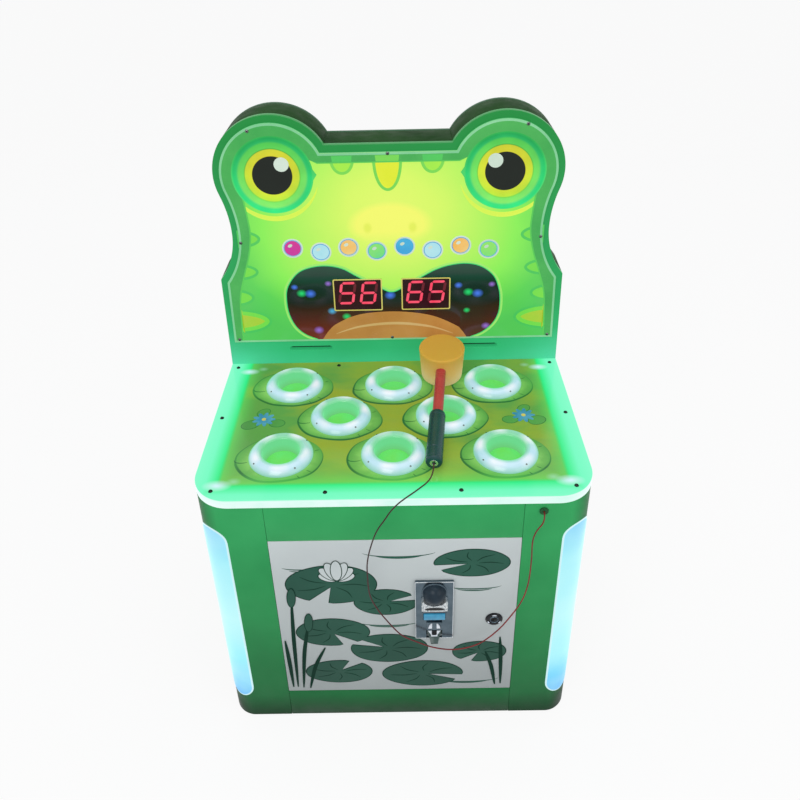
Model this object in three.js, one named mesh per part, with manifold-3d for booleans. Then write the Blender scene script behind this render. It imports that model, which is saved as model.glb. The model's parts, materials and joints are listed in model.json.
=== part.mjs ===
// A pounding game machine for children: a cabinet with a lit deck of eight holes, a mole under each
// hole on its own lift, a light-box header with two score displays, a coin door and a mallet on a cord.
// Millimetres, +Z up, +X to the player's right, the player stands on the -Y side.
import * as THREE from 'three';
import { mergeVertices } from 'three/addons/utils/BufferGeometryUtils.js';
import Module from 'manifold-3d';

const wasm = await Module();
wasm.setup();

// Clearances shared by every fit
const seat_gap = 0.3;
const running_gap = 0.5;
const cut_overrun = 2;
const weld_tolerance = 1e-4;

// Cabinet
const cabinet_width = 614;
const cabinet_corner_radius = 40;
const panel_wall = 12;
const wall_bottom = 3;
const column_side_depth = 70;
const seam_gap = 0.5;

// Deck
const deck_top = 550;
const deck_side_overhang = 1.7;
const deck_front_overhang = 12;
const deck_reach = 352.6;
const deck_corner_radius = 60;
const cover_thickness = 5;
const deck_sheet_gap = 0.05;
const rim_thickness = 11.8;
const rim_width = 32;
const ledge_width = 18;
const ledge_height = 20;

// Holes, rings and moles
const ring_gap = 76.8;
const row_front = 86.5;
const row_middle_shift = 2.6;
const row_rear_margin = 75.9;
const ring_outer_radius = 51.6;
const ring_height = 12;
const ring_throat_radius = 30;
const ring_throat_wall = 3;
const ring_throat_depth = 25;
const ring_crest_shift = -1;
const ring_lip_thickness = 3;
const mole_clearance = 3;
const mole_rest_depth = 7;
const mole_travel = 28;
const mole_head_length = 38;
const mole_crown = 4;
const mole_edge_radius = 3;
const mole_underside_thickness = 4;
const stem_radius = 5;
const stop_collar_radius = 10;
const stop_collar_height = 5;
const clip_radius = 9;
const clip_height = 3;
const stem_tail = 6;

// Lifts and their tray
const lift_body_height = 56;
const lift_body_radius = 21;
const lift_flange_radius = 26;
const lift_flange_height = 4;
const lift_cap_step = 2;
const tray_thickness = 12;
const tray_hole_gap = 3;

// Header
const header_depth = 82;
const header_wall = 12;
const header_back_wall = 9;
const shoulder_inset = 2.5;
const shoulder_height = 731.2;
const waist_inset = 33.5;
const waist_height = 820;
const lobe_inset = 14.7;
const lobe_height = 927;
const lobe_radius = 100.4;
const brow_height = 975.6;
const panel_inset = 12;
const panel_overlap = 14;
const panel_thickness = 4;
const header_panel_bottom = 601;
const display_distance = 123;
const display_height = 697.8;
const display_window_width = 87;
const display_window_height = 64;
const display_flange = 5;
const display_flange_thickness = 3;
const display_body_depth = 14;
const speaker_distance = 310.6;
const speaker_slot_height = 582.5;
const speaker_slot_length = 80;
const speaker_slot_width = 9;
const speaker_length = 96;
const speaker_width = 44;
const speaker_frame_thickness = 4;
const speaker_cone_depth = 12;
const speaker_magnet_radius = 16;
const speaker_magnet_depth = 12;

// Corner light strips, measured along the wrapped outer face
const strip_inner_inset = 44;
const strip_width = 60;
const strip_bottom = 55;
const strip_top = 478;

// Front door and what it carries
const door_side_distance = 107;
const door_bottom = 72;
const door_top = 450;
const door_thickness = 15;
const acceptor_centre_x = 62.75;
const acceptor_centre_height = 288.3;
const acceptor_plate_width = 63.7;
const acceptor_plate_height = 139.1;
const acceptor_plate_thickness = 4;
const acceptor_body_width = 52;
const acceptor_body_height = 130;
const acceptor_body_depth = 62;
const coin_dome_radius = 19.8;
const coin_dome_rise = 44.7;
const saddle_width = 43;
const saddle_proud = 12;
const saddle_shoulder_drop = 18;
const saddle_bottom_drop = 32.5;
const saddle_corner_radius = 5;
const coin_mouth_width = 33;
const coin_mouth_height = 7;
const coin_mouth_depth = 4;
const coin_mouth_drop = 27;
const coin_slot_width = 3.2;
const coin_slot_length = 27;
const coin_slot_depth = 20;
const return_button_width = 36;
const return_button_height = 14;
const return_button_drop = 13;
const return_button_travel = 4;
const return_button_proud = 3;
const return_button_length = 8;
const return_button_pocket = 9.5;
const return_bezel_width = 2;
const return_bezel_proud = 1.2;
const return_hood_height = 19;
const return_hood_proud = 3;
const return_hood_wall = 2.5;
const return_hood_pocket = 4;
const return_lever_width = 7.5;
const return_rib_proud = 2;
const return_rib_inset = 3;
const return_flap_width = 24;
const return_flap_length = 18;
const return_flap_lip_width = 18.5;
const return_flap_tip_width = 12;
const return_flap_lip_proud = 10;
const return_flap_lip_drop = 8;
const return_flap_thickness = 1.8;
const return_flap_rise = 22;
const return_flap_pin_radius = 1.6;
const return_pocket_depth = 16;
const return_pocket_floor = 3;
const return_pocket_side_gap = 1.2;
const lock_side_distance = 36.3;
const lock_height = 260.9;
const lock_face_radius = 14.5;
const lock_face_thickness = 3;
const lock_barrel_radius = 9.5;
const lock_cam_length = 46;
const lock_cam_width = 16;
const lock_cam_thickness = 2;
const lock_key_slot_width = 2;
const lock_key_slot_length = 9;
const lock_key_slot_depth = 1.6;

// Rear of the cabinet
const rear_door_side_distance = 137;
const rear_door_bottom = 60;
const rear_door_height = 340;
const rear_door_gap = 1;
const rear_lock_inset = 26;
const hinge_barrel_radius = 3;
const hinge_leaf_thickness = 1.5;
const hinge_leaf_width = 17;
const hinge_knuckle_count = 5;
const vent_slot_length = 70;
const vent_slot_width = 6;
const vent_slot_distance = 16;
const vent_column_distance = 100;
const vent_slot_count = 4;
const inlet_side_distance = 82;
const inlet_height = 70;
const inlet_width = 50;
const inlet_plate_height = 66;
const inlet_plate_thickness = 3;
const inlet_body_width = 30;
const inlet_body_height = 50;
const inlet_body_depth = 26;
const inlet_socket_width = 22;
const inlet_socket_height = 16;
const inlet_socket_depth = 17;
const inlet_socket_drop = 14;
const rocker_width = 12;
const rocker_length = 19;
const rocker_depth = 9;
const rocker_throw = 16;
const rocker_rise = 13;
const rocker_pocket_depth = 14;
const rocker_pocket_gap = 0.8;
const rocker_pivot_depth = 5;
const rocker_waist = 2;

// Base and electronics
const base_height = 15;
const base_thickness = 12;
const foot_radius = 20;
const foot_inset = 70;
const board_length = 160;
const board_width = 110;
const board_thickness = 1.6;
const board_standoff = 8;
const board_standoff_radius = 4;
const board_standoff_inset = 8;
const board_part_height = 14;
const board_centre_y = 240;
const board_centre_height = 230;
const supply_length = 160;
const supply_width = 98;
const supply_height = 38;
const supply_terminal_depth = 14;
const supply_terminal_height = 22;
const supply_wall_gap = 30;
const supply_centre_y = 250;

// Mallet
const head_bottom_radius = 37;
const head_top_radius = 41;
const head_height = 62;
const head_edge_radius = 3;
const handle_height = 37;
const handle_radius = 9;
const handle_length = 257;
const handle_socket_depth = 46;
const grip_radius = 13.5;
const grip_length = 110;
const grip_end_radius = 4;
const grip_bore_depth = 96;
const mallet_x = 88.9;
const mallet_rear_margin = 50.5;
const mallet_turn = 5.7;

// Cord and its grommet
const cord_radius = 1.1;
const cord_sides = 8;
const cord_steps = 66;
const grommet_side_distance = 77.4;
const grommet_height = 507.4;
const grommet_radius = 4.5;
const grommet_flange_radius = 7;
const grommet_flange_thickness = 2;
const grommet_bore_gap = 0.7;

// Facets round a full turn
const ring_facets = 20;
const mole_facets = 12;
const lift_facets = 12;
const small_facets = 10;
const hole_facets = 20;
const dome_facets = 20;
const dome_steps = 5;
const mouth_steps = 6;
const head_facets = 28;
const handle_facets = 14;
const corner_steps = 6;
const waist_steps = 4;
const lobe_steps = 12;
const slot_end_steps = 2;

// Places that follow from the sizes above
const half_cabinet = cabinet_width / 2;
const half_deck = half_cabinet + deck_side_overhang;
const cabinet_depth = deck_reach + header_depth;
const rim_bottom = deck_top - cover_thickness - rim_thickness;
const wall_top = rim_bottom - seat_gap;
const inner_half = half_cabinet - panel_wall;
const inlet_x = half_cabinet - inlet_side_distance;
const grommet_x = half_cabinet - grommet_side_distance;
const door_half_width = half_cabinet - door_side_distance;
const column_inner_edge = door_half_width + seam_gap;
const strip_inner_edge = half_cabinet - strip_inner_inset;
const lock_x = door_half_width - lock_side_distance;
const rear_way_half = half_cabinet - rear_door_side_distance;
const hole_distance = 2 * ring_outer_radius + ring_gap;
const row_rear = deck_reach - row_rear_margin;
const row_middle = (row_front + row_rear) / 2 + row_middle_shift;
const mallet_y = deck_reach - mallet_rear_margin;
const mole_radius = ring_throat_radius - mole_clearance;
const throat_outer_radius = ring_throat_radius + ring_throat_wall;
const deck_hole_radius = throat_outer_radius + seat_gap;
const mole_top = deck_top - mole_rest_depth;
const mole_foot = mole_top - mole_head_length;
const lift_top = mole_foot - mole_travel - stop_collar_height - seat_gap;
const tray_top = lift_top - lift_body_height - seat_gap;
const tray_bottom = tray_top - tray_thickness;
const clip_top = tray_top - mole_travel - running_gap;
const ring_crest_radius = (ring_outer_radius + ring_throat_radius) / 2 + ring_crest_shift;
const head_foot_radius = head_bottom_radius - head_edge_radius;
const hinge_axis_y = cabinet_depth + hinge_barrel_radius + seat_gap;
const back_reach = hinge_axis_y + hinge_barrel_radius;
const grommet_bore_radius = cord_radius + grommet_bore_gap;
const frame_middle_y = (back_reach - deck_front_overhang) / 2;

const machine = new THREE.Group();
machine.position.y = -frame_middle_y;

// Materials
function finish(color, roughness, metalness) {
  return new THREE.MeshStandardMaterial({ color, roughness, metalness });
}
const paint = {
  green_panel: () => finish(0x388e4d, 0.45, 0),
  dark_panel: () => finish(0x1f5a34, 0.5, 0),
  plywood: () => finish(0xc9a878, 0.8, 0),
  clear_cover: () => finish(0x8fae4a, 0.15, 0),
  lit_rim: () => finish(0xb8ffe0, 0.3, 0),
  lit_strip: () => finish(0xb4faff, 0.35, 0),
  ring_white: () => finish(0xe8fff6, 0.3, 0),
  mole_green: () => finish(0x69e66e, 0.5, 0),
  steel: () => finish(0x9aa0a6, 0.35, 0.9),
  coil: () => finish(0x333438, 0.6, 0.1),
  header_print: () => finish(0xc8ff5a, 0.2, 0),
  display_red: () => finish(0x3a0508, 0.2, 0),
  black_plastic: () => finish(0x17191c, 0.5, 0),
  button_blue: () => finish(0x2f86b4, 0.3, 0),
  chrome: () => finish(0xd8dce0, 0.12, 1),
  door_white: () => finish(0xb9bcc3, 0.35, 0),
  board_green: () => finish(0x14603a, 0.5, 0),
  sheet_metal: () => finish(0xb6babd, 0.4, 0.8),
  foam_amber: () => finish(0xd7a53c, 0.65, 0),
  handle_red: () => finish(0xc83c3c, 0.4, 0),
  grip_dark: () => finish(0x193c46, 0.6, 0),
  cord_brown: () => finish(0x5a2420, 0.5, 0),
};

// Geometry helpers

// Welds a geometry's shared corners, drops its collapsed faces and turns its faces outward.
function weld(geometry) {
  const bare = geometry.index ? geometry.clone() : geometry;
  bare.deleteAttribute('normal');
  bare.deleteAttribute('uv');
  const merged = mergeVertices(bare, weld_tolerance);
  const corners = merged.index.array;
  const place = merged.attributes.position;
  const kept = [];
  const a = new THREE.Vector3();
  const b = new THREE.Vector3();
  const c = new THREE.Vector3();
  let volume = 0;
  for (let i = 0; i < corners.length; i += 3) {
    const [p, q, r] = [corners[i], corners[i + 1], corners[i + 2]];
    if (p === q || q === r || r === p) continue;
    kept.push([p, q, r]);
    a.fromBufferAttribute(place, p);
    b.fromBufferAttribute(place, q);
    c.fromBufferAttribute(place, r);
    volume += a.dot(b.cross(c));
  }
  const facing = volume < 0 ? ([p, q, r]) => [p, r, q] : (face) => face;
  const out = new THREE.BufferGeometry();
  out.setAttribute('position', place.clone());
  out.setIndex(kept.flatMap(facing));
  return out;
}
function toSolid(geometry) {
  const welded = weld(geometry);
  const mesh = new wasm.Mesh({
    numProp: 3,
    vertProperties: new Float32Array(welded.attributes.position.array),
    triVerts: new Uint32Array(welded.index.array),
  });
  return new wasm.Manifold(mesh);
}

function toGeometry(solid) {
  const mesh = solid.getMesh();
  const out = new THREE.BufferGeometry();
  out.setAttribute('position', new THREE.BufferAttribute(new Float32Array(mesh.vertProperties), 3));
  out.setIndex(new THREE.BufferAttribute(new Uint32Array(mesh.triVerts), 1));
  return out;
}

function cut(base, ...tools) {
  let solid = toSolid(base);
  for (const tool of tools) solid = solid.subtract(toSolid(tool));
  return toGeometry(solid);
}

function join(base, ...others) {
  let solid = toSolid(base);
  for (const other of others) solid = solid.add(toSolid(other));
  return toGeometry(solid);
}

function box(x0, x1, y0, y1, z0, z1) {
  const shape = new THREE.BoxGeometry(x1 - x0, y1 - y0, z1 - z0);
  shape.translate((x0 + x1) / 2, (y0 + y1) / 2, (z0 + z1) / 2);
  return shape;
}

// A flat outline in X and Y, raised from z0 to z1.
function plateUp(points, z0, z1) {
  const shape = new THREE.ExtrudeGeometry(new THREE.Shape(points), { depth: z1 - z0, bevelEnabled: false });
  shape.translate(0, 0, z0);
  return shape;
}

// An outline in X and Z, carried from y0 back to y1.
function plateBack(points, y0, y1) {
  const shape = new THREE.ExtrudeGeometry(new THREE.Shape(points), { depth: y1 - y0, bevelEnabled: false });
  shape.rotateX(Math.PI / 2);
  shape.translate(0, y1, 0);
  return shape;
}

// An outline in Y and Z, carried along X from x0 to x1.
function plateAcross(points, x0, x1) {
  const shape = new THREE.ExtrudeGeometry(new THREE.Shape(points), { depth: x1 - x0, bevelEnabled: false });
  const turn = new THREE.Matrix4().makeBasis(
    new THREE.Vector3(0, 1, 0), new THREE.Vector3(0, 0, 1), new THREE.Vector3(1, 0, 0));
  shape.applyMatrix4(turn);
  shape.translate(x0, 0, 0);
  return shape;
}

// A revolved profile of [radius, height] pairs about the Z axis.
function turned(profile, facets) {
  const shape = new THREE.LatheGeometry(profile.map(([r, z]) => new THREE.Vector2(r, z)), facets);
  shape.rotateX(Math.PI / 2);
  return shape;
}

// A round bar along Z.
function bar(radius, z0, z1, facets) {
  return turned([[0, z0], [radius, z0], [radius, z1], [0, z1]], facets);
}

// A round bar along Y from y0 to y1.
function barBack(radius, x, z, y0, y1, facets) {
  const shape = bar(radius, y0, y1, facets);
  shape.rotateX(-Math.PI / 2);
  shape.translate(x, 0, z);
  return shape;
}

function arc(cx, cy, radius, from, to, steps) {
  const points = [];
  for (let i = 0; i <= steps; i += 1) {
    const angle = from + (to - from) * (i / steps);
    points.push(new THREE.Vector2(cx + radius * Math.cos(angle), cy + radius * Math.sin(angle)));
  }
  return points;
}

function corners(...pairs) {
  return pairs.map(([x, y]) => new THREE.Vector2(x, y));
}

// A slot outline with round ends, long in its first direction.
function slot(cx, cy, length, width) {
  const half = (length - width) / 2;
  const quarter = Math.PI / 2;
  return [
    ...arc(cx + half, cy, width / 2, -quarter, quarter, slot_end_steps),
    ...arc(cx - half, cy, width / 2, quarter, 3 * quarter, slot_end_steps),
  ];
}

// Joins rings of equally many points into one closed skin with flat ends.
function loft(rings) {
  const around = rings[0].length;
  const points = rings.flat().flatMap((p) => [p.x, p.y, p.z]);
  const faces = [];
  for (let i = 0; i + 1 < rings.length; i += 1) {
    for (let j = 0; j < around; j += 1) {
      const a = i * around + j;
      const b = i * around + ((j + 1) % around);
      faces.push(a, b, b + around, a, b + around, a + around);
    }
  }
  const last = (rings.length - 1) * around;
  for (let j = 1; j + 1 < around; j += 1) {
    faces.push(0, j + 1, j, last, last + j, last + j + 1);
  }
  const out = new THREE.BufferGeometry();
  out.setAttribute('position', new THREE.Float32BufferAttribute(points, 3));
  out.setIndex(faces);
  return out;
}

function addPiece(name, geometry, material, holder = machine) {
  const mesh = new THREE.Mesh(weld(geometry), material);
  mesh.name = name;
  holder.add(mesh);
  return mesh;
}

// Base board with four feet under it
function makeBase() {
  const inner = inner_half - seat_gap;
  const front = panel_wall + seat_gap;
  const radius = cabinet_corner_radius - panel_wall - seat_gap;
  const quarter = Math.PI / 2;
  const outline = [
    ...arc(inner - radius, front + radius, radius, -quarter, 0, corner_steps),
    ...corners([inner, cabinet_depth - panel_wall - seat_gap], [-inner, cabinet_depth - panel_wall - seat_gap]),
    ...arc(-inner + radius, front + radius, radius, -2 * quarter, -quarter, corner_steps),
  ];
  let board = plateUp(outline, base_height, base_height + base_thickness);
  for (const side of [-1, 1]) {
    for (const y of [foot_inset, cabinet_depth - foot_inset]) {
      const foot = bar(foot_radius, 0, base_height + base_thickness / 2, small_facets);
      foot.translate(side * (half_cabinet - foot_inset), y, 0);
      board = join(board, foot);
    }
  }
  addPiece('base_board', board, paint.plywood());
}

// A point on the wrapped corner: run is measured along the outer face from the cabinet's middle,
// depth into the wall.
function wrapped(side, run, depth, z) {
  const turn_start = half_cabinet - cabinet_corner_radius;
  if (run <= turn_start) return new THREE.Vector3(side * run, depth, z);
  const angle = (run - turn_start) / cabinet_corner_radius;
  const radius = cabinet_corner_radius - depth;
  return new THREE.Vector3(
    side * (turn_start + radius * Math.sin(angle)),
    cabinet_corner_radius - radius * Math.cos(angle), z);
}

// The light strip's body, or with a gap round it the window that it sits in.
function stripBody(side, gap, outside, inside) {
  const half = strip_width / 2;
  const rings = [];
  for (const share of strip_station_shares) {
    const along = share * strip_width;
    const rounding = half - Math.sqrt(half * half - (half - along) ** 2);
    const run = strip_inner_edge + along + gap * (2 * share - 1);
    const low = strip_bottom + rounding - gap;
    const high = strip_top - rounding + gap;
    rings.push([
      wrapped(side, run, -outside, low), wrapped(side, run, -outside, high),
      wrapped(side, run, inside, high), wrapped(side, run, inside, low),
    ]);
  }
  return loft(rings);
}
const strip_station_shares = [0, 0.02, 0.07, 0.14, 0.24, 0.37, 0.5, 0.63, 0.76, 0.86, 0.93, 0.98, 1];

// A corner column wraps from the front seam round to the side panel, with a window for its light strip.
function makeColumn(side) {
  const turn = half_cabinet - cabinet_corner_radius;
  const inner_radius = cabinet_corner_radius - panel_wall;
  const quarter = Math.PI / 2;
  const outer = arc(turn, cabinet_corner_radius, cabinet_corner_radius, -quarter, 0, corner_steps);
  const inner = arc(turn, cabinet_corner_radius, inner_radius, 0, -quarter, corner_steps);
  const outline = [
    ...corners([column_inner_edge, panel_wall], [column_inner_edge, 0]), ...outer,
    ...corners([half_cabinet, column_side_depth], [inner_half, column_side_depth]), ...inner,
  ].map((p) => new THREE.Vector2(side * p.x, p.y));
  let column = plateUp(outline, wall_bottom, wall_top);
  column = cut(column, stripBody(side, seat_gap, cut_overrun, panel_wall + cut_overrun));
  if (side > 0) {
    column = cut(column, barBack(grommet_radius + seat_gap, grommet_x, grommet_height,
      -cut_overrun, panel_wall + cut_overrun, small_facets));
  }
  const name = side < 0 ? 'left' : 'right';
  addPiece(`${name}_corner_column`, column, paint.green_panel());
  addPiece(`${name}_light_strip`, stripBody(side, 0, 0, panel_wall), paint.lit_strip());
}

// A side panel with the two ledges that carry the deck board and the mechanism tray
function makeSidePanel(side) {
  const front = column_side_depth + seat_gap;
  const ledge_back = deck_reach - seat_gap;
  let panel = box(inner_half, half_cabinet, front, cabinet_depth, wall_bottom, wall_top);
  for (const top of [wall_top, tray_bottom - seat_gap]) {
    const ledge = box(inner_half - ledge_width, inner_half + panel_wall / 2,
      front, ledge_back, top - ledge_height, top);
    panel = join(panel, ledge);
  }
  if (side < 0) panel.scale(-1, 1, 1);
  addPiece(side < 0 ? 'left_side_panel' : 'right_side_panel', panel, paint.dark_panel());
}

function makeFrontRails() {
  const half = column_inner_edge - seat_gap;
  addPiece('front_top_rail', box(-half, half, 0, panel_wall, door_top + seam_gap, wall_top), paint.green_panel());
  addPiece('front_bottom_rail', box(-half, half, 0, panel_wall, wall_bottom, door_bottom - seam_gap),
    paint.green_panel());
}

// Rear panel with its service doorway, air slots and the hole for the power inlet
function makeRear() {
  const half = inner_half - seat_gap;
  const front = cabinet_depth - panel_wall;
  const half_way = rear_way_half;
  const way_top = rear_door_bottom + rear_door_height;
  const vent_height = (way_top + wall_top) / 2;
  let panel = box(-half, half, front, cabinet_depth, wall_bottom, wall_top);
  panel = cut(panel, box(-half_way, half_way, front - cut_overrun, cabinet_depth + cut_overrun,
    rear_door_bottom, way_top));
  for (let i = 0; i < vent_slot_count; i += 1) {
    const z = vent_height + (i - (vent_slot_count - 1) / 2) * vent_slot_distance;
    for (const x of [-vent_column_distance, 0, vent_column_distance]) {
      panel = cut(panel, plateBack(slot(x, z, vent_slot_length, vent_slot_width),
        front - cut_overrun, cabinet_depth + cut_overrun));
    }
  }
  const inlet_half = inlet_body_width / 2 + seat_gap;
  panel = cut(panel, box(inlet_x - inlet_half, inlet_x + inlet_half, front - cut_overrun,
    cabinet_depth + cut_overrun, inlet_height - inlet_body_height / 2 - seat_gap,
    inlet_height + inlet_body_height / 2 + seat_gap));
  panel = join(panel, ...hingeHalf(1));
  addPiece('back_panel', panel, paint.dark_panel());

  const door_half = half_way - rear_door_gap;
  const lock_place = half_way - rear_lock_inset;
  const lock_z = rear_door_bottom + rear_door_height / 2;
  let door = box(-door_half, door_half, front, cabinet_depth,
    rear_door_bottom + rear_door_gap, way_top - rear_door_gap);
  door = cut(door, barBack(lock_barrel_radius + running_gap, -lock_place, lock_z,
    front - cut_overrun, cabinet_depth + cut_overrun, small_facets));
  door = join(door, ...hingeHalf(-1));
  addPiece('rear_door', door, paint.dark_panel());
  const lock = camLock(panel_wall);
  lock.rotateY(Math.PI / 2);
  lock.rotateZ(Math.PI);
  lock.translate(-lock_place, cabinet_depth, lock_z);
  addPiece('rear_lock', lock, paint.chrome());
}

// The leaf and knuckles of one half of the rear door's hinge: side 1 is on the panel, -1 on the door
function hingeHalf(side) {
  const axis_x = rear_way_half;
  const height = rear_door_height - 2 * rear_door_gap;
  const low = rear_door_bottom + rear_door_gap;
  const leaf_near = axis_x + side * (hinge_barrel_radius + running_gap);
  const leaf_far = axis_x + side * hinge_leaf_width;
  const leaf_back = cabinet_depth + hinge_leaf_thickness;
  const leaf_front = cabinet_depth - panel_wall / 2;
  const pieces = [box(Math.min(leaf_near, leaf_far), Math.max(leaf_near, leaf_far),
    leaf_front, leaf_back, low, low + height)];
  const pitch = height / hinge_knuckle_count;
  for (let i = side > 0 ? 0 : 1; i < hinge_knuckle_count; i += 2) {
    const z0 = low + i * pitch + seat_gap;
    const z1 = low + (i + 1) * pitch - seat_gap;
    const barrel = bar(hinge_barrel_radius, z0, z1, small_facets);
    barrel.translate(axis_x, hinge_axis_y, 0);
    pieces.push(barrel, box(Math.min(leaf_far, axis_x), Math.max(leaf_far, axis_x),
      cabinet_depth, leaf_back, z0, z1));
  }
  return pieces;
}

// A cam lock's turning plug, its face at the origin looking along -Y, with the cam behind the panel
// that it goes through.
function camLock(panel) {
  const back = panel + seat_gap;
  const face = barBack(lock_face_radius, 0, 0, -lock_face_thickness, -seat_gap, small_facets);
  const barrel = barBack(lock_barrel_radius, 0, 0, -lock_face_thickness / 2, back + lock_cam_thickness, small_facets);
  const half = lock_cam_width / 2;
  const cam = plateBack([...corners([0, -half], [lock_cam_length - half, -half]),
    ...arc(lock_cam_length - half, 0, half, -Math.PI / 2, Math.PI / 2, slot_end_steps),
    ...corners([0, half])], back, back + lock_cam_thickness);
  const key = box(-lock_key_slot_width / 2, lock_key_slot_width / 2, -lock_face_thickness - cut_overrun,
    -lock_face_thickness + lock_key_slot_depth, -lock_key_slot_length / 2, lock_key_slot_length / 2);
  return cut(join(face, barrel, cam), key);
}

// The eight hole centres: three in front, two in the middle, three behind
const hole_places = [
  ...[-1, 0, 1].map((i) => [i * hole_distance, row_front]),
  ...[-1, 1].map((i) => [i * hole_distance / 2, row_middle]),
  ...[-1, 0, 1].map((i) => [i * hole_distance, row_rear]),
];

function holeTools(radius, z0, z1, facets) {
  return hole_places.map(([x, y]) => {
    const tool = bar(radius, z0 - cut_overrun, z1 + cut_overrun, facets);
    tool.translate(x, y, 0);
    return tool;
  });
}

function deckOutline(inset, back) {
  const half = half_deck - inset;
  const front = -deck_front_overhang + inset;
  const radius = deck_corner_radius - inset;
  const quarter = Math.PI / 2;
  return [
    ...arc(half - radius, front + radius, radius, -quarter, 0, corner_steps),
    ...corners([half, back], [-half, back]),
    ...arc(-half + radius, front + radius, radius, -2 * quarter, -quarter, corner_steps),
  ];
}

// Clear top sheet, lit rim frame under its border, and the board inside the rim
function makeDeck() {
  const back = deck_reach - seat_gap;
  const cover_bottom = deck_top - cover_thickness;
  const cover = cut(plateUp(deckOutline(0, back), cover_bottom, deck_top),
    ...holeTools(deck_hole_radius, cover_bottom, deck_top, hole_facets));
  addPiece('deck_cover', cover, paint.clear_cover());

  const rim_top = cover_bottom - deck_sheet_gap;
  const rim = cut(plateUp(deckOutline(0, back), rim_bottom, rim_top),
    plateUp(deckOutline(rim_width, back + cut_overrun), rim_bottom - cut_overrun, rim_top + cut_overrun));
  addPiece('deck_rim', rim, paint.lit_rim());

  const board = cut(plateUp(deckOutline(rim_width + seat_gap, back), rim_bottom, rim_top),
    ...holeTools(deck_hole_radius, rim_bottom, rim_top, hole_facets));
  addPiece('deck_board', board, paint.plywood());
}

// A raised translucent ring with a throat that goes down through the deck
function ringProfile() {
  return [
    [ring_throat_radius, deck_top - ring_throat_depth],
    [throat_outer_radius, deck_top - ring_throat_depth],
    [throat_outer_radius, deck_top + seat_gap],
    [ring_outer_radius, deck_top + seat_gap],
    [ring_outer_radius, deck_top + ring_lip_thickness],
    [ring_outer_radius - ring_lip_thickness, deck_top + ring_height * ring_slope_shares[0]],
    [ring_crest_radius, deck_top + ring_height],
    [ring_throat_radius + ring_lip_thickness, deck_top + ring_height * ring_slope_shares[1]],
    [ring_throat_radius, deck_top + ring_height * ring_slope_shares[2]],
    [ring_throat_radius, deck_top - ring_throat_depth],
  ];
}
const ring_slope_shares = [0.62, 0.92, 0.72];

// A mole: crowned head, stem, the collar that it rests on and the clip that stops it at the top
function moleProfile() {
  const shoulder = mole_top - mole_crown;
  return [
    [0, mole_top],
    [mole_radius * mole_crown_shares[0], mole_top - mole_crown * mole_crown_shares[1]],
    [mole_radius - mole_edge_radius, shoulder],
    [mole_radius, shoulder - mole_edge_radius],
    [mole_radius, mole_foot],
    [stem_radius, mole_foot - mole_underside_thickness],
    [stem_radius, lift_top + seat_gap + stop_collar_height],
    [stop_collar_radius, lift_top + seat_gap + stop_collar_height],
    [stop_collar_radius, lift_top + seat_gap],
    [stem_radius, lift_top + seat_gap],
    [stem_radius, clip_top],
    [clip_radius, clip_top],
    [clip_radius, clip_top - clip_height],
    [stem_radius, clip_top - clip_height - stem_tail],
    [0, clip_top - clip_height - stem_tail],
  ];
}
const mole_crown_shares = [0.55, 0.28];

// A lift: a coil between two flanges, with a bore for the mole's stem
function liftProfile() {
  const bottom = tray_top + seat_gap;
  const bore = stem_radius + running_gap;
  return [
    [bore, bottom], [lift_flange_radius, bottom],
    [lift_flange_radius, bottom + lift_flange_height], [lift_body_radius, bottom + lift_flange_height],
    [lift_body_radius, lift_top - lift_flange_height],
    [lift_body_radius + lift_cap_step, lift_top - lift_flange_height],
    [lift_body_radius + lift_cap_step, lift_top], [bore, lift_top], [bore, bottom],
  ];
}

function makeMechanism() {
  hole_places.forEach(([x, y], i) => {
    const number = i + 1;
    const pieces = [
      [`hole_ring_${number}`, ringProfile(), ring_facets, paint.ring_white()],
      [`mole_${number}`, moleProfile(), mole_facets, paint.mole_green()],
      [`lift_${number}`, liftProfile(), lift_facets, paint.coil()],
    ];
    for (const [name, profile, facets, material] of pieces) {
      addPiece(name, turned(profile, facets), material).position.set(x, y, 0);
    }
  });
  const half = inner_half - seat_gap;
  const tray = cut(box(-half, half, cabinet_corner_radius + seat_gap, deck_reach - seat_gap, tray_bottom, tray_top),
    ...holeTools(clip_radius + tray_hole_gap, tray_bottom, tray_top, small_facets));
  addPiece('mechanism_tray', tray, paint.plywood());
}

// The header's animal-head outline, drawn in by an inset, from its bottom edge round and back
function headOutline(inset, bottom) {
  const half_waist = half_deck - waist_inset;
  const half_shoulder = half_deck - shoulder_inset;
  const lobe_x = half_deck - lobe_inset - lobe_radius;
  const run = half_shoulder - half_waist;
  const rise = waist_height - shoulder_height;
  const low_radius = (run * run + rise * rise) / (2 * run);
  const lobe_rise = lobe_height - waist_height;
  const lobe_step = half_waist - lobe_x;
  const high_radius = (lobe_step ** 2 + lobe_rise ** 2 - lobe_radius ** 2) / (2 * (lobe_radius - lobe_step));
  const low_centre = half_waist + low_radius;
  const high_centre = half_waist + high_radius;
  const low_start = Math.PI + Math.acos((low_centre - half_shoulder + inset) / (low_radius + inset));
  const join_angle = Math.atan2(-lobe_rise, high_centre - lobe_x);
  const brow = brow_height - inset;
  const notch_angle = Math.PI - Math.asin((brow - lobe_height) / (lobe_radius - inset));
  const right = [
    ...corners([half_deck - inset, bottom]),
    ...arc(low_centre, waist_height, low_radius + inset, low_start, Math.PI, waist_steps),
    ...arc(high_centre, waist_height, high_radius + inset, Math.PI, Math.PI + join_angle, waist_steps).slice(1),
    ...arc(lobe_x, lobe_height, lobe_radius - inset, join_angle, notch_angle, lobe_steps).slice(1),
  ];
  const left = right.map((p) => new THREE.Vector2(-p.x, p.y)).reverse();
  return [...right, ...left];
}

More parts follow.
